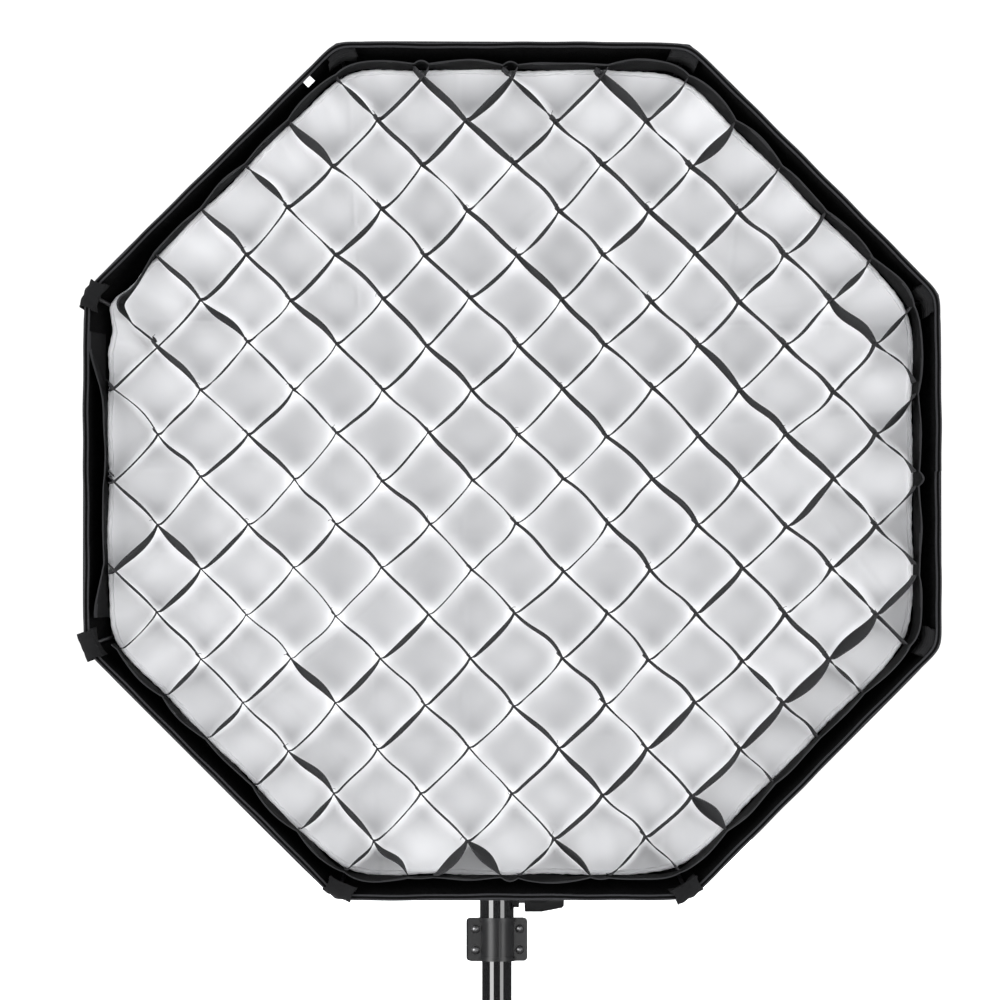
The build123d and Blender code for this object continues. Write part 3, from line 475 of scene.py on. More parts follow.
lip_pile, lip_tree, lip_shader = nodes_of("black_loop_pile")
lip_place = lip_tree.nodes.new("ShaderNodeTexCoord")
lip_grain = add_node(lip_tree, "ShaderNodeTexNoise", Scale=620.0, Detail=4.0, Roughness=0.75)
lip_patch = add_node(lip_tree, "ShaderNodeTexNoise", Scale=26.0, Detail=3.0)
lip_range = add_node(lip_tree, "ShaderNodeMapRange", From_Min=0.42, From_Max=0.78)
lip_colour = lip_tree.nodes.new("ShaderNodeMix")
lip_colour.data_type = "RGBA"
lip_colour.inputs["A"].default_value = (0.0012, 0.0012, 0.0013, 1)
lip_colour.inputs["B"].default_value = (0.016, 0.016, 0.017, 1)
lip_join = lip_tree.nodes.new("ShaderNodeMath")
lip_join.operation = "MULTIPLY"
lip_bump = add_node(lip_tree, "ShaderNodeBump", Strength=0.9, Distance=0.0008)
wire(
    lip_tree,
    (lip_place, "Object", lip_grain, "Vector"),
    (lip_place, "Object", lip_patch, "Vector"),
    (lip_grain, "Fac", lip_range, "Value"),
    (lip_range, "Result", lip_join, 0),
    (lip_patch, "Fac", lip_join, 1),
    (lip_join, 0, lip_colour, "Factor"),
    (lip_colour, "Result", lip_shader, "Base Color"),
    (lip_grain, "Fac", lip_bump, "Height"),
    (lip_bump, "Normal", lip_shader, "Normal"),
)
set_values(lip_shader, Roughness=1.0, Specular_IOR_Level=0.1)
lip = band_loop("lip_pile_band", lip_surface(lip_wall), lip_surface(0.0), lip_pile, "softbox")
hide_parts("lip_lining")

# ---- rim binding ------------------------------------------------------------------------------------------
# Charcoal tape folded over the raw edge of the shell and stitched twice, so that it shows two fine rolls
# side by side all the way round. The groove between the rolls and the back of the tape are coloured near
# black as painted shade.
binding_front = ring_back_y - rim_front
binding_width, binding_unfolded = 0.0066, 0.013
roll_rise, groove_drop, stitch_length = 0.0031, 0.0022, 0.0042
roll_turns, roll_points = 1536, 28


def binding_surface():
    """A closed profile of two rolls, a rounded box with a groove down its face, carried round the rim."""
    theta = np.linspace(0, 2 * math.pi, roll_turns, endpoint=False)[:, None]
    phi = np.linspace(0, 2 * math.pi, roll_points, endpoint=False)[None, :]
    wide = np.sign(np.cos(phi)) * np.abs(np.cos(phi)) ** 0.6 * binding_width / 2
    high = np.sign(np.sin(phi)) * np.abs(np.sin(phi)) ** 0.6 * roll_rise
    groove = np.exp(-((wide / 0.0010) ** 2)) * groove_drop * (high > 0)
    stitch = 0.0003 * np.sin(theta * 8 * half_flats * math.tan(half_angle) / stitch_length)
    stitch = stitch * np.exp(-((wide / 0.0012) ** 2))
    forward = binding_front - roll_rise + high - groove + stitch + 0.0004 * lip_wave(theta * 0.5, 0 * theta)
    outline = rounded_sides(theta, 1.0, 110)
    wander = 0.0006 * lip_wave(theta * 0.44, 0.3 + 0 * theta)
    reach = outline * (half_flats - 0.0004 - binding_width / 2 + wide + wander)
    return around(theta, reach, forward)


tape_cloth = cloth_finish(
    "charcoal_binding", (0.022, 0.022, 0.0245), 0.6, 520, 0.0003, 0.35, sheen=0.03, gloss=0.3
)
# Painted shade: a near-black colour for the groove between the rolls and for the back of the tape.
painted_groove_shade = cloth_finish("binding_painted_shade", (0.003, 0.003, 0.003), 0.9, 900, 0.0002, 0.3, gloss=0.05)
rolls = binding_surface()
roll_faces = loop_faces(roll_turns, roll_points, 0)
binding = make_piece("edge_binding", rolls.reshape(-1, 3), roll_faces, tape_cloth, "softbox")
binding.data.materials.append(painted_groove_shade)
# The faces in the groove and on the back of the profile take the painted shade.
roll_step = np.linspace(0, 2 * math.pi, roll_points, endpoint=False)
in_groove = np.abs(roll_step + math.pi / roll_points - math.pi / 2) < 1.6 * math.pi / roll_points
under = np.abs(roll_step - 1.5 * math.pi) < 1.1
painted_shade_faces = np.broadcast_to(in_groove | under, (roll_turns, roll_points))
binding.data.polygons.foreach_set("material_index", painted_shade_faces.reshape(-1).astype(np.int32))
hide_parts("rim_binding")

# ---- corner pockets ---------------------------------------------------------------------------------------
# Loops of fuzzy webbing sewn over the rim at each corner, which take the rod ends; four of them have
# ridden up and stand off the corner as small tabs.
pocket_half, pocket_wall, pocket_strip = 0.0165, 0.0016, 0.075
proud_corners = {3: 0.5120, 4: 0.5150, 5: 0.5090, 6: 0.5110}
proud_twist = {6: -0.17, 5: 0.03, 3: 0.05}
pocket_cloth = cloth_finish(
    "fuzzy_webbing", (0.007, 0.007, 0.0075), 0.9, 260, 0.0014, 0.8, sheen=0.03, gloss=0.16
)
pocket_noise = ripples(21, 6, 0.006, 0.02)


def pocket_surface(corner, lift):
    """A strip wrapped over the rim: up the outside, round the edge on a half circle, down the inside."""
    tucked = corner not in proud_corners
    s = np.linspace(0, 1, 34)[None, :]
    t = np.linspace(-1, 1, 15)[:, None]
    wrap = np.clip((s - 0.36) / 0.28, 0, 1) * math.pi
    thick = 0.0026 if tucked else 0.0068
    run = np.where(s < 0.36, (0.36 - s) / 0.36, 0) + np.where(s > 0.64, (s - 0.64) / 0.36, 0)
    top = binding_front - 0.0055 if tucked else binding_front + 0.0006
    forward = top - run * 0.028 + np.sin(wrap) * (0.0022 + lift)
    flare = bend_depth_to_corner(np.minimum(forward, rim_depth))
    crown = flare - 0.0135 if tucked else proud_corners[corner] - pocket_wall - thick + 0 * flare
    foot = flare - 0.0090 if tucked else flare - 0.0050
    out = crown * (1 - run) + foot * run + np.cos(wrap) * (thick * (1 - 0.45 * run) + lift)
    ridge = np.sqrt((t * pocket_half) ** 2 + 0.006**2) - 0.006
    out = out - ridge * math.tan(half_angle) * (1.0 if tucked else 0.08 + 0.8 * run)
    twist = t * pocket_half * proud_twist.get(corner, 0.0)
    out = out + 0.0006 * pocket_noise(t * 0.02 + corner, s * 0.08) + twist
    lean = 0.0035 * (corner % 3 - 1) * (s - 0.5)
    side = t * pocket_half * (1 - 0.10 * np.sin(wrap)) + lean
    forward = forward + 0.0006 * pocket_noise(s * 0.05, t * 0.03 + corner)
    return turned(out, side, forward, half_angle + corner * side_angle)


pockets = [(pocket_surface(corner, pocket_wall), pocket_surface(corner, 0.0)) for corner in range(side_count)]
pocket_loops = slabs("rod_pocket_loops", pockets, pocket_cloth, "softbox")
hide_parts("corner_pockets")

# ---- front diffuser ---------------------------------------------------------------------------------------
# A sheet of white diffusion cloth with an elastic edge, pressed into the lip. It hangs back a little in
# the middle, keeps faint creases from folding, and puckers where its corners are pulled.
diffuser_low, diffuser_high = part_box("front_diffuser")
diffuser_depth = ring_back_y - diffuser_low.y
diffuser_flats = (diffuser_high.x - diffuser_low.x) / 2
diffuser_sag = 0.013
cloth_count, crease_count = 301, 14
swell = ripples(31, 8, 0.09, 0.30)
fine_swell = ripples(32, 8, 0.03, 0.08)
loose_turn, loose_wave = math.radians(158), 0.0046


def turn_gap(theta, centre):
    """Signed angle from a direction, wrapped into half a turn each way."""
    return (theta - centre + math.pi) % (2 * math.pi) - math.pi


def diffuser_edge(theta):
    """Radius of the diffuser's edge: rounded sides, with a dying sine wave where the corner hangs loose."""
    gap = turn_gap(theta, loose_turn)
    dip = loose_wave * np.sin(gap * 48 - 0.9) * np.exp(-((gap / 0.10) ** 2))
    gather = 0.00022 * np.sin(theta * 190) + 0.0011 * np.sin(theta * 23 + 1.0)
    return rounded_sides(theta, diffuser_flats - 0.0015, 42) - dip + gather


def crease(a, b, turn, offset, width, height):
    """A straight fold line: a bell of the distance to a line."""
    away = a * math.cos(turn) + b * math.sin(turn) - offset
    return height * np.exp(-((away / width) ** 2))


def diffuser_surface(wall):
    """Square rings mapped to rounded sides; depth is a flat-bottomed sag with ripples, creases, puckers."""
    u, v = np.meshgrid(np.linspace(-1, 1, cloth_count), np.linspace(-1, 1, cloth_count), indexing="ij")
    ring = np.maximum(np.abs(u), np.abs(v))
    theta = np.arctan2(v, u)
    reach = ring * diffuser_edge(theta)
    a, b = reach * np.cos(theta), reach * np.sin(theta)
    sag = diffuser_sag * (1 - ring**5)
    rough = (0.0016 * swell(a, b) + 0.0005 * fine_swell(a, b)) * (1 - ring**8)
    draw = np.random.default_rng(33)
    for _ in range(crease_count):
        line = draw.choice([0.0, math.pi / 4, math.pi / 2, -math.pi / 4]) + draw.normal(0, 0.08)
        fade = 0.5 + 0.5 * np.sin((a * -math.sin(line) + b * math.cos(line)) * 9 + draw.uniform(0, 6))
        offset = draw.uniform(-0.4, 0.4)
        rough = rough + fade * crease(a, b, line, offset, 0.0024, draw.choice([-1, 1]) * 0.0008)
    corner_pull = np.cos(4 * (theta - half_angle)) ** 2
    pucker = 0.0012 * np.sin(theta * 76 + 2 * np.sin(theta * 9)) * ring**9 * corner_pull
    gap = turn_gap(theta, loose_turn)
    slack = 0.0060 * np.sin(gap * 34 + ring * 20) * np.exp(-((gap / 0.15) ** 2))
    slack = slack * ring**6 * (1 - ring**40)
    worn = 0.0008 * fine_swell(a * 1.3 + 1.0, b * 1.3) * ring**3 * (1 - ring**14)
    return at(a, b, diffuser_depth - sag + rough + worn + pucker + slack - wall)


white_cloth, white_tree, white_shader = nodes_of("white_diffusion_cloth")
white_place = white_tree.nodes.new("ShaderNodeTexCoord")
white_cloud = add_node(white_tree, "ShaderNodeTexNoise", Scale=6.0, Detail=4.0)
white_mix = white_tree.nodes.new("ShaderNodeMix")
white_mix.data_type = "RGBA"
white_mix.inputs["A"].default_value = (0.85, 0.85, 0.862, 1)
white_mix.inputs["B"].default_value = (0.90, 0.90, 0.908, 1)
white_weave = add_node(white_tree, "ShaderNodeTexNoise", Scale=1100.0, Detail=2.0)
white_bump = add_node(white_tree, "ShaderNodeBump", Strength=0.25, Distance=0.0002)
wire(
    white_tree,
    (white_place, "Object", white_cloud, "Vector"),
    (white_cloud, "Fac", white_mix, "Factor"),
    (white_mix, "Result", white_shader, "Base Color"),
    (white_place, "Object", white_weave, "Vector"),
    (white_weave, "Fac", white_bump, "Height"),
    (white_bump, "Normal", white_shader, "Normal"),
)
set_values(white_shader, Roughness=0.85, Sheen_Weight=0.1)
white_wall = 0.0007
diffuser_pair = (diffuser_surface(0.0), diffuser_surface(white_wall))
diffuser = slabs("diffuser_sheet", [diffuser_pair], white_cloth, "softbox")
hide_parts("front_diffuser")

# The elastic edge is a soft white roll with fine gathers.
edge_roll, elastic_width = 0.0029, 0.010
edge_turns, edge_points = 1536, 12


def edge_surface():
    """A small round profile carried round the diffuser's edge, its radius rippled by the gathers."""
    theta = np.linspace(0, 2 * math.pi, edge_turns, endpoint=False)[:, None]
    phi = np.linspace(0, 2 * math.pi, edge_points, endpoint=False)[None, :]
    size = edge_roll * (1 + 0.05 * np.sin(theta * 330) + 0.08 * np.sin(theta * 47))
    reach = diffuser_edge(theta) - 0.0028 + size * np.cos(phi)
    return around(theta, reach, diffuser_depth + 0.0006 + 0.7 * size * np.sin(phi))


edge = edge_surface()
hem_cloth = cloth_finish("white_elastic", (0.88, 0.88, 0.89), 0.8, 500, 0.0003, 0.03, sheen=0.1)
edge_faces = loop_faces(edge_turns, edge_points, 0)
hem = make_piece("diffuser_edge_roll", edge.reshape(-1, 3), edge_faces, hem_cloth, "softbox")
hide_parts("diffuser_hem")

# ---- inner diffuser ---------------------------------------------------------------------------------------
# A second, smaller sheet of the same white cloth, which hangs halfway back and spreads the light before
# it reaches the front. Its eight corners are sewn to elastic straps that tie it to the rods.
inner_low, inner_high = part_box("inner_diffuser")
inner_depth = ring_back_y - inner_low.y
inner_flats = (inner_high.x - inner_low.x) / 2
inner_count, inner_sharpness = 81, 90


def inner_surface(wall):
    """Square rings mapped to rounded sides, with a shallow sag."""
    u, v = np.meshgrid(np.linspace(-1, 1, inner_count), np.linspace(-1, 1, inner_count), indexing="ij")
    ring = np.maximum(np.abs(u), np.abs(v))
    theta = np.arctan2(v, u)
    reach = ring * rounded_sides(theta, inner_flats, inner_sharpness)
    a, b = reach * np.cos(theta), reach * np.sin(theta)
    return at(a, b, inner_depth - wall - 0.004 * (1 - ring**4) + 0.0008 * swell(a, b))


inner_pair = (inner_surface(0.0), inner_surface(white_wall))
inner_sheet = slabs("inner_sheet", [inner_pair], white_cloth, "softbox")
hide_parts("inner_diffuser")

# ---- inner straps -----------------------------------------------------------------------------------------
# Eight bands of black elastic sewn behind the corners of the inner sheet. Each runs out to a wire loop on
# its rod, where it is folded round the wire and drawn narrow.
strap_half, strap_wall, strap_lap = 0.005, 0.0010, 0.012
strap_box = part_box("inner_straps")
strap_end = (strap_box[1].x - strap_half * math.sin(half_angle)) / math.cos(half_angle)
strap_start = rounded_sides(np.array([half_angle]), inner_flats, inner_sharpness)[0] - strap_lap


def strap_surface(corner, lift):
    """A ribbon along a corner: gathers are a fine sine along it, and it narrows by a bell at the loop."""
    s = np.linspace(0, 1, 72)[:, None]
    t = np.linspace(-1, 1, 7)[None, :]
    out = strap_start + (strap_end - strap_start) * s + 0 * t
    pinch = np.exp(-(((1 - s) / 0.05) ** 2))
    side = t * strap_half * (1 - 0.45 * pinch + 0.03 * np.sin(s * 150))
    slack = np.sin(math.pi * s)
    gathers = 0.00028 * np.sin(s * 230 + corner) * (1 - t * t) * (1 - pinch)
    roll = 0.0012 * t * slack * math.sin(corner * 2.1)
    forward = inner_depth - 0.0010 - 0.0022 * slack + roll + gathers - lift
    return turned(out, side, forward, half_angle + corner * side_angle)


elastic = cloth_finish("black_elastic", (0.016, 0.016, 0.017), 0.75, 640, 0.0004, 0.3, sheen=0.1)
straps = [(strap_surface(corner, 0.0), strap_surface(corner, strap_wall)) for corner in range(side_count)]
strap_bands = slabs("inner_strap_bands", straps, elastic, "softbox")
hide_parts("inner_straps")

# ---- grid strips ------------------------------------------------------------------------------------------
# Charcoal cloth strips on edge at 45 degrees. One family runs through, falling to the right; the other
# is cut into short lengths sewn to it at each crossing, so it bellies to the lower right.
grid_low, grid_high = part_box("fabric_grid")
strip_front, strip_back = ring_back_y - grid_low.y, ring_back_y - grid_high.y
pitch = 0.0706
through_shift, cross_shift = 0.0332, -0.0253
grid_flats = 0.4475
strip_wall = 0.0014
root_half = math.sqrt(0.5)
loop_turn, loop_depth = math.radians(160.5), 0.050
strip_rows, strip_reach, grid_sharpness = 9, 8, 60


def grid_edge(theta):
    """Radius of the line on which the strips end: rounded sides, with the loose corner fallen inwards."""
    fall = loop_depth * np.exp(-((turn_gap(theta, loop_turn) / 0.062) ** 2))
    return rounded_sides(theta, grid_flats, grid_sharpness) - fall


def crossing(through, cross):
    """Where strip number `through` of one family meets strip number `cross` of the other."""
    a = through_shift + through * pitch
    b = cross_shift + cross * pitch
    x, y = (a + b) * root_half, (a - b) * root_half
    wobble_x = 0.0016 * math.sin(through * 2.3 + cross * 1.7) + 0.0010 * math.sin(cross * 4.1 - through)
    wobble_y = 0.0016 * math.sin(through * 1.9 - cross * 2.9) + 0.0010 * math.sin(through * 3.7 + cross)
    return np.array([x - 0.010 * (y / 0.45) ** 2 + wobble_x, y + wobble_y])


def inside(point, margin):
    """Whether a point lies within the grid's edge by more than a margin."""
    return np.hypot(*point) < grid_edge(math.atan2(point[1], point[0])) - margin


def to_edge(start, direction):
    """The point where a line from a crossing meets the grid's edge, by halving the step."""
    near, far = 0.0, 0.16
    for _ in range(24):
        middle = (near + far) / 2
        if inside(start + direction * middle, 0.0):
            near = middle
        else:
            far = middle
    return start + direction * near


def segments(family):
    """For each strip of one family, its points in order: where it starts, each crossing, where it ends."""
    rows = []
    for number in range(-strip_reach, strip_reach + 1):
        line = []
        for other in range(-strip_reach, strip_reach + 1):
            pair = (number, other) if family == "through" else (other, number)
            point = crossing(*pair)
            if inside(point, 0.012):
                line.append(point)
        if not line:
            continue
        heading = np.array([root_half, -root_half if family == "through" else root_half])
        line.sort(key=lambda p: float(p @ heading))
        rows.append([to_edge(line[0], -heading)] + line + [to_edge(line[-1], heading)])
    return rows


def strip_slab(start, end, bow_front, bow_back, hook, belly, count=25):
    """A strip on edge from start to end. Its sideways offset is a half sine and a full sine, plus for a
    sewn-on length a quick rise from the seam; the half sine differs from the front edge to the back."""
    run = end - start
    length = np.hypot(*run)
    along = run / length
    aside = np.array([along[1], -along[0]])
    t = np.linspace(0, 1, count)[:, None]
    v = np.linspace(0, 1, strip_rows)[None, :]
    shape = np.sin(math.pi * t)
    seam = (1 - np.exp(-t / 0.028)) * (1 - np.exp(-(1 - t) / 0.10))
    bow = (bow_front * (1 - v) + bow_back * v) * shape + hook * seam + belly * np.sin(2 * math.pi * t)
    droop = 0.0012 * shape * (1 - 2 * v)
    depth = strip_front + (strip_back - strip_front) * v - droop
    grids = []
    for side in (-1, 1):
        shift = bow + side * strip_wall / 2
        x = start[0] + run[0] * t + aside[0] * shift
        y = start[1] + run[1] * t + aside[1] * shift
        grids.append(at(x, y, depth))
    return grids


def lean_of(point, draw):
    """How far the front edge leans past the back edge: small in the middle, more towards the rim."""
    edge_share = np.hypot(*point) / grid_flats
    return draw.normal(0.0, 0.0006 + 0.0024 * edge_share**3)


draw = np.random.default_rng(52)
through_pairs, cross_pairs, strip_length = [], [], {"through": 0.0, "cross": 0.0}
for points in segments("through"):
    for start, end in zip(points[:-1], points[1:]):
        middle = (start + end) / 2
        bow = -abs(draw.normal(0.0012, 0.0016))
        lean = lean_of(middle, draw)
        through_pairs.append(strip_slab(start, end, bow + lean, bow - lean, 0.0, draw.normal(0.0007, 0.0007)))
        strip_length["through"] += float(np.hypot(*(end - start)))
for points in segments("cross"):
    for start, end in zip(points[:-1], points[1:]):
        middle = (start + end) / 2
        bow = abs(draw.normal(0.0008, 0.0010))
        lean = lean_of(middle, draw)
        cross_pairs.append(strip_slab(start, end, bow + lean, bow - lean, 0.0028, draw.normal(0, 0.0005)))
        strip_length["cross"] += float(np.hypot(*(end - start)))

grid_cloth = cloth_finish(
    "charcoal_grid_cloth", (0.022, 0.022, 0.0235), 0.88, 520, 0.0003, 0.25, sheen=0.02, gloss=0.22
)
strip_depth = strip_front - strip_back
for name, pairs, family in (
    ("grid_through_strips", through_pairs, "through"), ("grid_cross_strips", cross_pairs, "cross"),
):
    strips = slabs(name, pairs, grid_cloth, "softbox")
    if family == "through":
        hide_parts("fabric_grid")

# Each crossing has a short turned-in end sewn flat against the through strip, and a loose thread.
knot_length, knot_wall = 0.0062, 0.0021
thread_radius = 0.00028
into_strip = 0.0008 * root_half


def knot_grids(spot, length):
    """A short slab along the through strip, thickest halfway by a half sine: its two faces."""
    t = np.linspace(0, 1, 5)[:, None]
    v = np.linspace(0, 1, 4)[None, :]
    run = np.array([-root_half, root_half]) * length
    grids = []
    for side in (-1, 1):
        shift = (side * knot_wall / 2 * (0.55 + 0.45 * np.sin(math.pi * t)) + 0.0004) * root_half
        x = spot[0] + run[0] * t + shift - into_strip
        y = spot[1] + run[1] * t + shift + into_strip
        grids.append(at(x, y, strip_front + 0.0004 - (strip_depth - 0.003) * v))
    return grids


def thread_tube(start, heading, curl, reach):
    """A thin round tube whose middle line turns steadily as it goes out from its start."""
    s = np.linspace(0, 1, 6)[:, None]
    phi = np.linspace(0, 2 * math.pi, 5, endpoint=False)[None, :]
    x = start[0] + reach * s * np.cos(heading + curl * s) + thread_radius * np.cos(phi)
    y = start[1] + reach * s * np.sin(heading + curl * s) + thread_radius * np.sin(phi)
    return at(x, y, strip_front + 0.0003 * s + 0 * phi)


knot_pairs, threads = [], []
for through in range(-strip_reach, strip_reach + 1):
    for cross in range(-strip_reach, strip_reach + 1):
        spot = crossing(through, cross)
        if not inside(spot, 0.004):
            continue
        length = knot_length * draw.uniform(0.7, 1.25)
        knot_pairs.append(knot_grids(spot, length))
        tip = spot + 0.8 * length * np.array([-root_half, root_half])
        threads.append(
            thread_tube(tip, draw.uniform(1.1, 3.0), draw.normal(0, 0.9), draw.uniform(0.0025, 0.006))
        )
knots = slabs("grid_knots", knot_pairs, grid_cloth, "softbox")

thread_rows, thread_columns = threads[0].shape[:2]
thread_index = np.arange(thread_rows * thread_columns).reshape(thread_rows, thread_columns)
thread_beside = np.roll(thread_index, -1, 1)
one_thread = [thread_index[:-1], thread_index[1:], thread_beside[1:], thread_beside[:-1]]
one_thread = np.stack(one_thread, -1).reshape(-1, 4)
thread_firsts = np.arange(len(threads))[:, None, None] * thread_index.size
thread_ends = make_piece(
    "grid_thread_ends", np.concatenate([tube.reshape(-1, 3) for tube in threads]),
    (one_thread[None] + thread_firsts).reshape(-1, 4), grid_cloth, "softbox",
)

# ---- grid edge --------------------------------------------------------------------------------------------
# A strip of the same cloth with hook tape on its outside, sewn round the ends of the strips. It is
# pulled in where a strip ends and bellies out to the lip between. Behind its folded front edge the whole
# band is coloured near black: the hook tape on its outside, and painted shade on its inside face.
# Near-black colour for the hook tape outside, also used on the band's inside face as painted shade.
hook_tape_and_painted_shade = cloth_finish("hook_tape_and_painted_shade", (0.0045, 0.0045, 0.005), 1.0, 420, 0.0008, 0.7, sheen=0.02, gloss=0.12)
ends = []
for points in segments("through") + segments("cross"):
    for end in (points[0], points[-1]):
        ends.append(math.atan2(end[1], end[0]) % (2 * math.pi))
ends = sorted(ends)
before = [ends[-1] - 2 * math.pi] + ends[:-1]
sewn_turns = np.array([b for a, b in zip(before, ends) if b - a > 0.035])
belly_each = np.random.default_rng(61).uniform(0.0006, 0.0060, len(sewn_turns))
edge_noise = ripples(62, 5, 0.02, 0.07)
band_rows = 12


def edge_line(theta):
    """Points on the line of the strip ends: rounded sides at an angle."""
    reach = rounded_sides(theta, grid_flats + 0.0012, grid_sharpness)
    return np.stack([reach * np.cos(theta), reach * np.sin(theta)], -1)


def edge_swing(theta):
    """Between two strip ends the front edge swings out by a half sine, a different height each time."""
    theta = theta % (2 * math.pi)
    place = np.searchsorted(sewn_turns, theta) % len(sewn_turns)
    low, high = sewn_turns[place - 1], sewn_turns[place]
    width = (high - low) % (2 * math.pi)
    share = ((theta - low) % (2 * math.pi)) / width
    return belly_each[place] * np.sin(math.pi * share) ** 0.8


def soft_path(points, count, soften):
    """A path of straight runs walked evenly by its length, each corner rounded by a moving average."""
    points = np.array(points, float)
    lengths = np.concatenate([[0], np.cumsum(np.linalg.norm(np.diff(points, axis=0), axis=1))])
    walk = np.linspace(0, lengths[-1], count)
    path = np.stack([np.interp(walk, lengths, points[:, 0]), np.interp(walk, lengths, points[:, 1])], -1)
    window = np.hanning(soften + 2)[1:-1]
    window /= window.sum()
    padded = np.pad(path, ((soften // 2, soften // 2), (0, 0)), mode="reflect", reflect_type="odd")
    return np.stack([np.convolve(padded[:, axis], window, "valid") for axis in (0, 1)], -1)


def ribbon(line, lean, wall):
    """A ribbon on edge along a line: its front edge is moved sideways from the line by the lean."""
    run = np.gradient(line, axis=0)
    run /= np.linalg.norm(run, axis=1, keepdims=True)
    aside = np.stack([run[:, 1], -run[:, 0]], -1)
    v = np.linspace(0, 1, band_rows)[None, :]
    along = np.cumsum(np.linalg.norm(np.diff(line, axis=0, prepend=line[:1]), axis=1))[:, None]
    shift = lean[:, None] * (1 - v) ** 0.8 + wall + 0.0006 * edge_noise(along, v * 0.045)
    x = line[:, 0:1] + aside[:, 0:1] * shift
    y = line[:, 1:2] + aside[:, 1:2] * shift
    depth = strip_front + 0.0006 - strip_depth * v + 0.0010 * edge_noise(along, 0.3 + 0 * v)
    theta = np.arctan2(y, x)
    limit = bend_depth_to_corner(np.minimum(depth, rim_depth)) * math.cos(half_angle) - 0.0046
    over = np.hypot(x, y) / (rounded_sides(theta, 1.0, grid_sharpness) * limit + wall)
    over = np.maximum(over, 1.0)
    return at(x / over, y / over, depth)


long_start, long_end = math.radians(203.4), math.radians(360 + 148.6)
loose_sewn = crossing(-3, -5) + np.array([-0.0008, 0.0012])
long_turns = np.linspace(long_start, long_end, 1700)
hang = edge_line(np.array([long_end]))[0]
loose_fold = np.array([-0.4315, 0.1850])
loose_knee = np.array([-0.4205, 0.1625])
loose_line = soft_path([hang, loose_fold, loose_knee, loose_sewn], 120, 17)[1:]
loose = np.linspace(0, 1, len(loose_line))
long_line = np.concatenate([edge_line(long_turns), loose_line])
loose_lean = 0.0016 + 0.0085 * np.exp(-(((loose - 0.56) / 0.13) ** 2)) - 0.0030 * np.sin(math.pi * loose) ** 2
long_lean = np.concatenate([edge_swing(long_turns) + 0.0012, loose_lean])
side_turns = np.linspace(math.radians(161.3), math.radians(199.9), 230)
from_top = np.linspace(0, 1, len(side_turns))
top_flare = np.exp(-((from_top / 0.16) ** 2))
foot_flare = np.exp(-(((1 - from_top) / 0.12) ** 2))
side_line = edge_line(side_turns)
side_line = side_line * (1 + 0.0080 / grid_flats * top_flare)[:, None]
side_lean = 0.0016 + 0.5 * edge_swing(side_turns) + 0.0135 * top_flare + 0.0085 * foot_flare
bands = []
for line, lean in ((long_line, long_lean), (side_line, side_lean)):
    bands.append((ribbon(line, lean, 0.0013), ribbon(line, lean, 0.0)))
grid_band = slabs("grid_edge_band", bands, hook_tape_and_painted_shade, "softbox")
grid_band.data.materials.append(grid_cloth)
band_places = np.empty(len(grid_band.data.vertices) * 3)
grid_band.data.vertices.foreach_get("co", band_places)
# The front 3 mm, the folded edge, takes the strips' cloth; the rest keeps the near black, which is painted
# shade on the inside face.
front_line = ring_back_y - strip_front + 0.0030
corners = np.empty(len(grid_band.data.loops), np.int32)
grid_band.data.loops.foreach_get("vertex_index", corners)
folded = band_places.reshape(-1, 3)[corners.reshape(-1, 4), 1].min(axis=1) < front_line
grid_band.data.polygons.foreach_set("material_index", folded.astype(np.int32))
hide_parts("grid_hem")
band_length = float(np.linalg.norm(np.diff(long_line, axis=0), axis=1).sum())
band_length += float(np.linalg.norm(np.diff(side_line, axis=0), axis=1).sum())

# ---- tag --------------------------------------------------------------------------------------------------
# A small square label of white satin with nothing on it. It is sewn in behind the binding at the top
# left and curls forwards at its free edge.
tag_side = 0.0105
tag_low, tag_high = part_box("blank_tag")
tag_middle = (tag_low + tag_high) / 2
tag_across = np.array([-root_half, 0, -root_half])
tag_in = np.array([root_half, 0, -root_half])


def tag_surface(wall):
    """A square bent forwards by a parabola towards its free edge."""
    s = np.linspace(-0.5, 0.5, 9)[:, None, None] * tag_side
    t = np.linspace(-0.5, 0.5, 9)[None, :, None] * tag_side
    bend_out = 18 * (t + tag_side / 2) ** 2 + wall
    middle = np.array([tag_middle.x, tag_middle.y, tag_middle.z])
    return middle + tag_across * s + tag_in * t - np.array([0, 1.0, 0]) * bend_out


satin = cloth_finish("white_satin", (0.80, 0.80, 0.80), 0.5, 900, 0.0001, 0.04, sheen=0.2)
tag = slabs("satin_tag", [(tag_surface(0.0), tag_surface(0.0004))], satin, "softbox")
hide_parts("blank_tag")

# ---- metal and plastic ------------------------------------------------------------------------------------
# The stand, bracket, ring and rods are turned, cast and moulded parts, kept as they were designed. Each
# finish has its own grain: powder coat, satin moulding, plated steel, turned alloy, rubber.


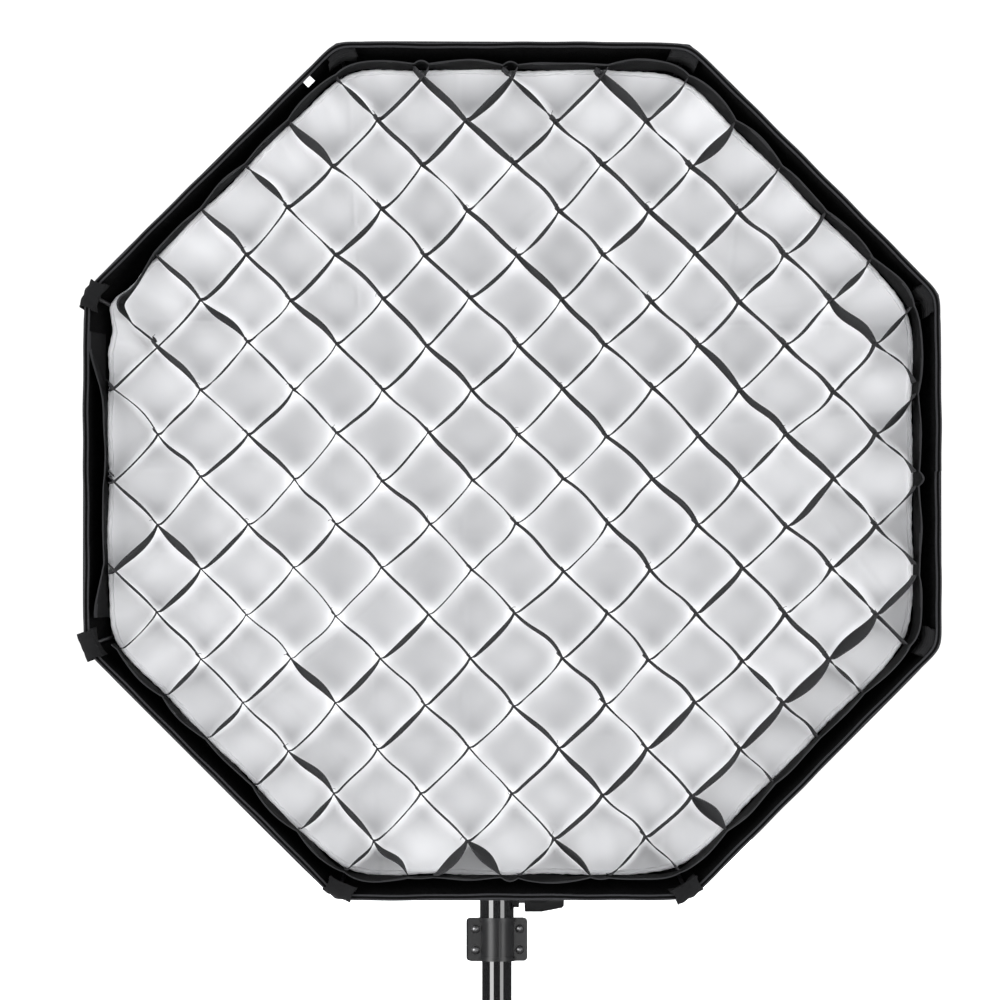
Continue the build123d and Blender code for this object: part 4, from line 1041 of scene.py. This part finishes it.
def hard_finish(name, colour, roughness, metallic, grain, grain_depth, scuff, ior=1.5):
    """A hard surface: noise in the colour and the roughness for handling marks, and a fine bump."""
    material, tree, shader = nodes_of(name)
    place = tree.nodes.new("ShaderNodeTexCoord")
    cloud = add_node(tree, "ShaderNodeTexNoise", Scale=38.0, Detail=6.0, Roughness=0.65)
    tint = tree.nodes.new("ShaderNodeMix")
    tint.data_type = "RGBA"
    tint.inputs["A"].default_value = (*[c * (1 - scuff) for c in colour], 1)
    tint.inputs["B"].default_value = (*[min(1.0, c * (1 + scuff)) for c in colour], 1)
    gloss = add_node(tree, "ShaderNodeMapRange")
    gloss.inputs["To Min"].default_value = max(0.02, roughness * (1 - scuff))
    gloss.inputs["To Max"].default_value = min(1.0, roughness * (1 + scuff))
    speck = add_node(tree, "ShaderNodeTexNoise", Scale=grain, Detail=3.0)
    bump = add_node(tree, "ShaderNodeBump", Strength=0.35, Distance=grain_depth)
    for source in (cloud, speck):
        wire(tree, (place, "Object", source, "Vector"))
    wire(
        tree,
        (cloud, "Fac", tint, "Factor"),
        (tint, "Result", shader, "Base Color"),
        (cloud, "Fac", gloss, "Value"),
        (gloss, "Result", shader, "Roughness"),
        (speck, "Fac", bump, "Height"),
        (bump, "Normal", shader, "Normal"),
    )
    set_values(shader, Metallic=metallic, IOR=ior)
    return material


finishes = {
    "gloss_black_tube": hard_finish(
        "gloss_black_coat", (0.004, 0.004, 0.0045), 0.05, 0, 300, 0.000003, 0.15, ior=2.2
    ),
    "collar_casting": hard_finish(
        "satin_moulding", (0.011, 0.011, 0.012), 0.36, 0, 1500, 0.00004, 0.12, ior=1.8
    ),
    "bright_screw": hard_finish("plated_steel", (0.50, 0.50, 0.51), 0.38, 1, 400, 0.00002, 0.12),
    "bright_steel": hard_finish("turned_steel", (0.58, 0.58, 0.60), 0.28, 1, 700, 0.00004, 0.15),
    "nylon_bush": hard_finish("natural_nylon", (0.52, 0.52, 0.50), 0.45, 0, 800, 0.00005, 0.06),
    "sleeve_black": hard_finish(
        "polished_sleeve", (0.006, 0.006, 0.0065), 0.06, 0, 300, 0.000004, 0.12, ior=2.2
    ),
    "knob_black": hard_finish("grained_moulding", (0.008, 0.008, 0.0085), 0.42, 0, 1300, 0.00008, 0.18),
    "bracket_black": hard_finish("satin_black_paint", (0.024, 0.024, 0.026), 0.40, 0, 900, 0.00006, 0.20),
    "ring_alloy": hard_finish("turned_alloy", (0.56, 0.56, 0.58), 0.30, 1, 600, 0.00004, 0.12),
    "pad_rubber": hard_finish("black_rubber", (0.022, 0.022, 0.022), 0.85, 0, 1100, 0.00012, 0.18),
    "spring_rod": hard_finish("lacquered_rod", (0.014, 0.014, 0.015), 0.42, 0, 700, 0.00003, 0.15),
    "binding_tape": webbing,
}
slot_of = {row["node"]: row["material_slot"] for row in frame["record"]["subparts"]}
soft_slots = ("shell_cloth", "loop_lining", "diffuser_cloth", "grid_cloth", "tag_white")
for name, node in frame["nodes"].items():
    slot = slot_of[name]
    if slot in soft_slots:
        continue
    if not node.material_slots:
        node.data.materials.append(finishes[slot])
    for holder in node.material_slots:
        holder.material = finishes[slot]
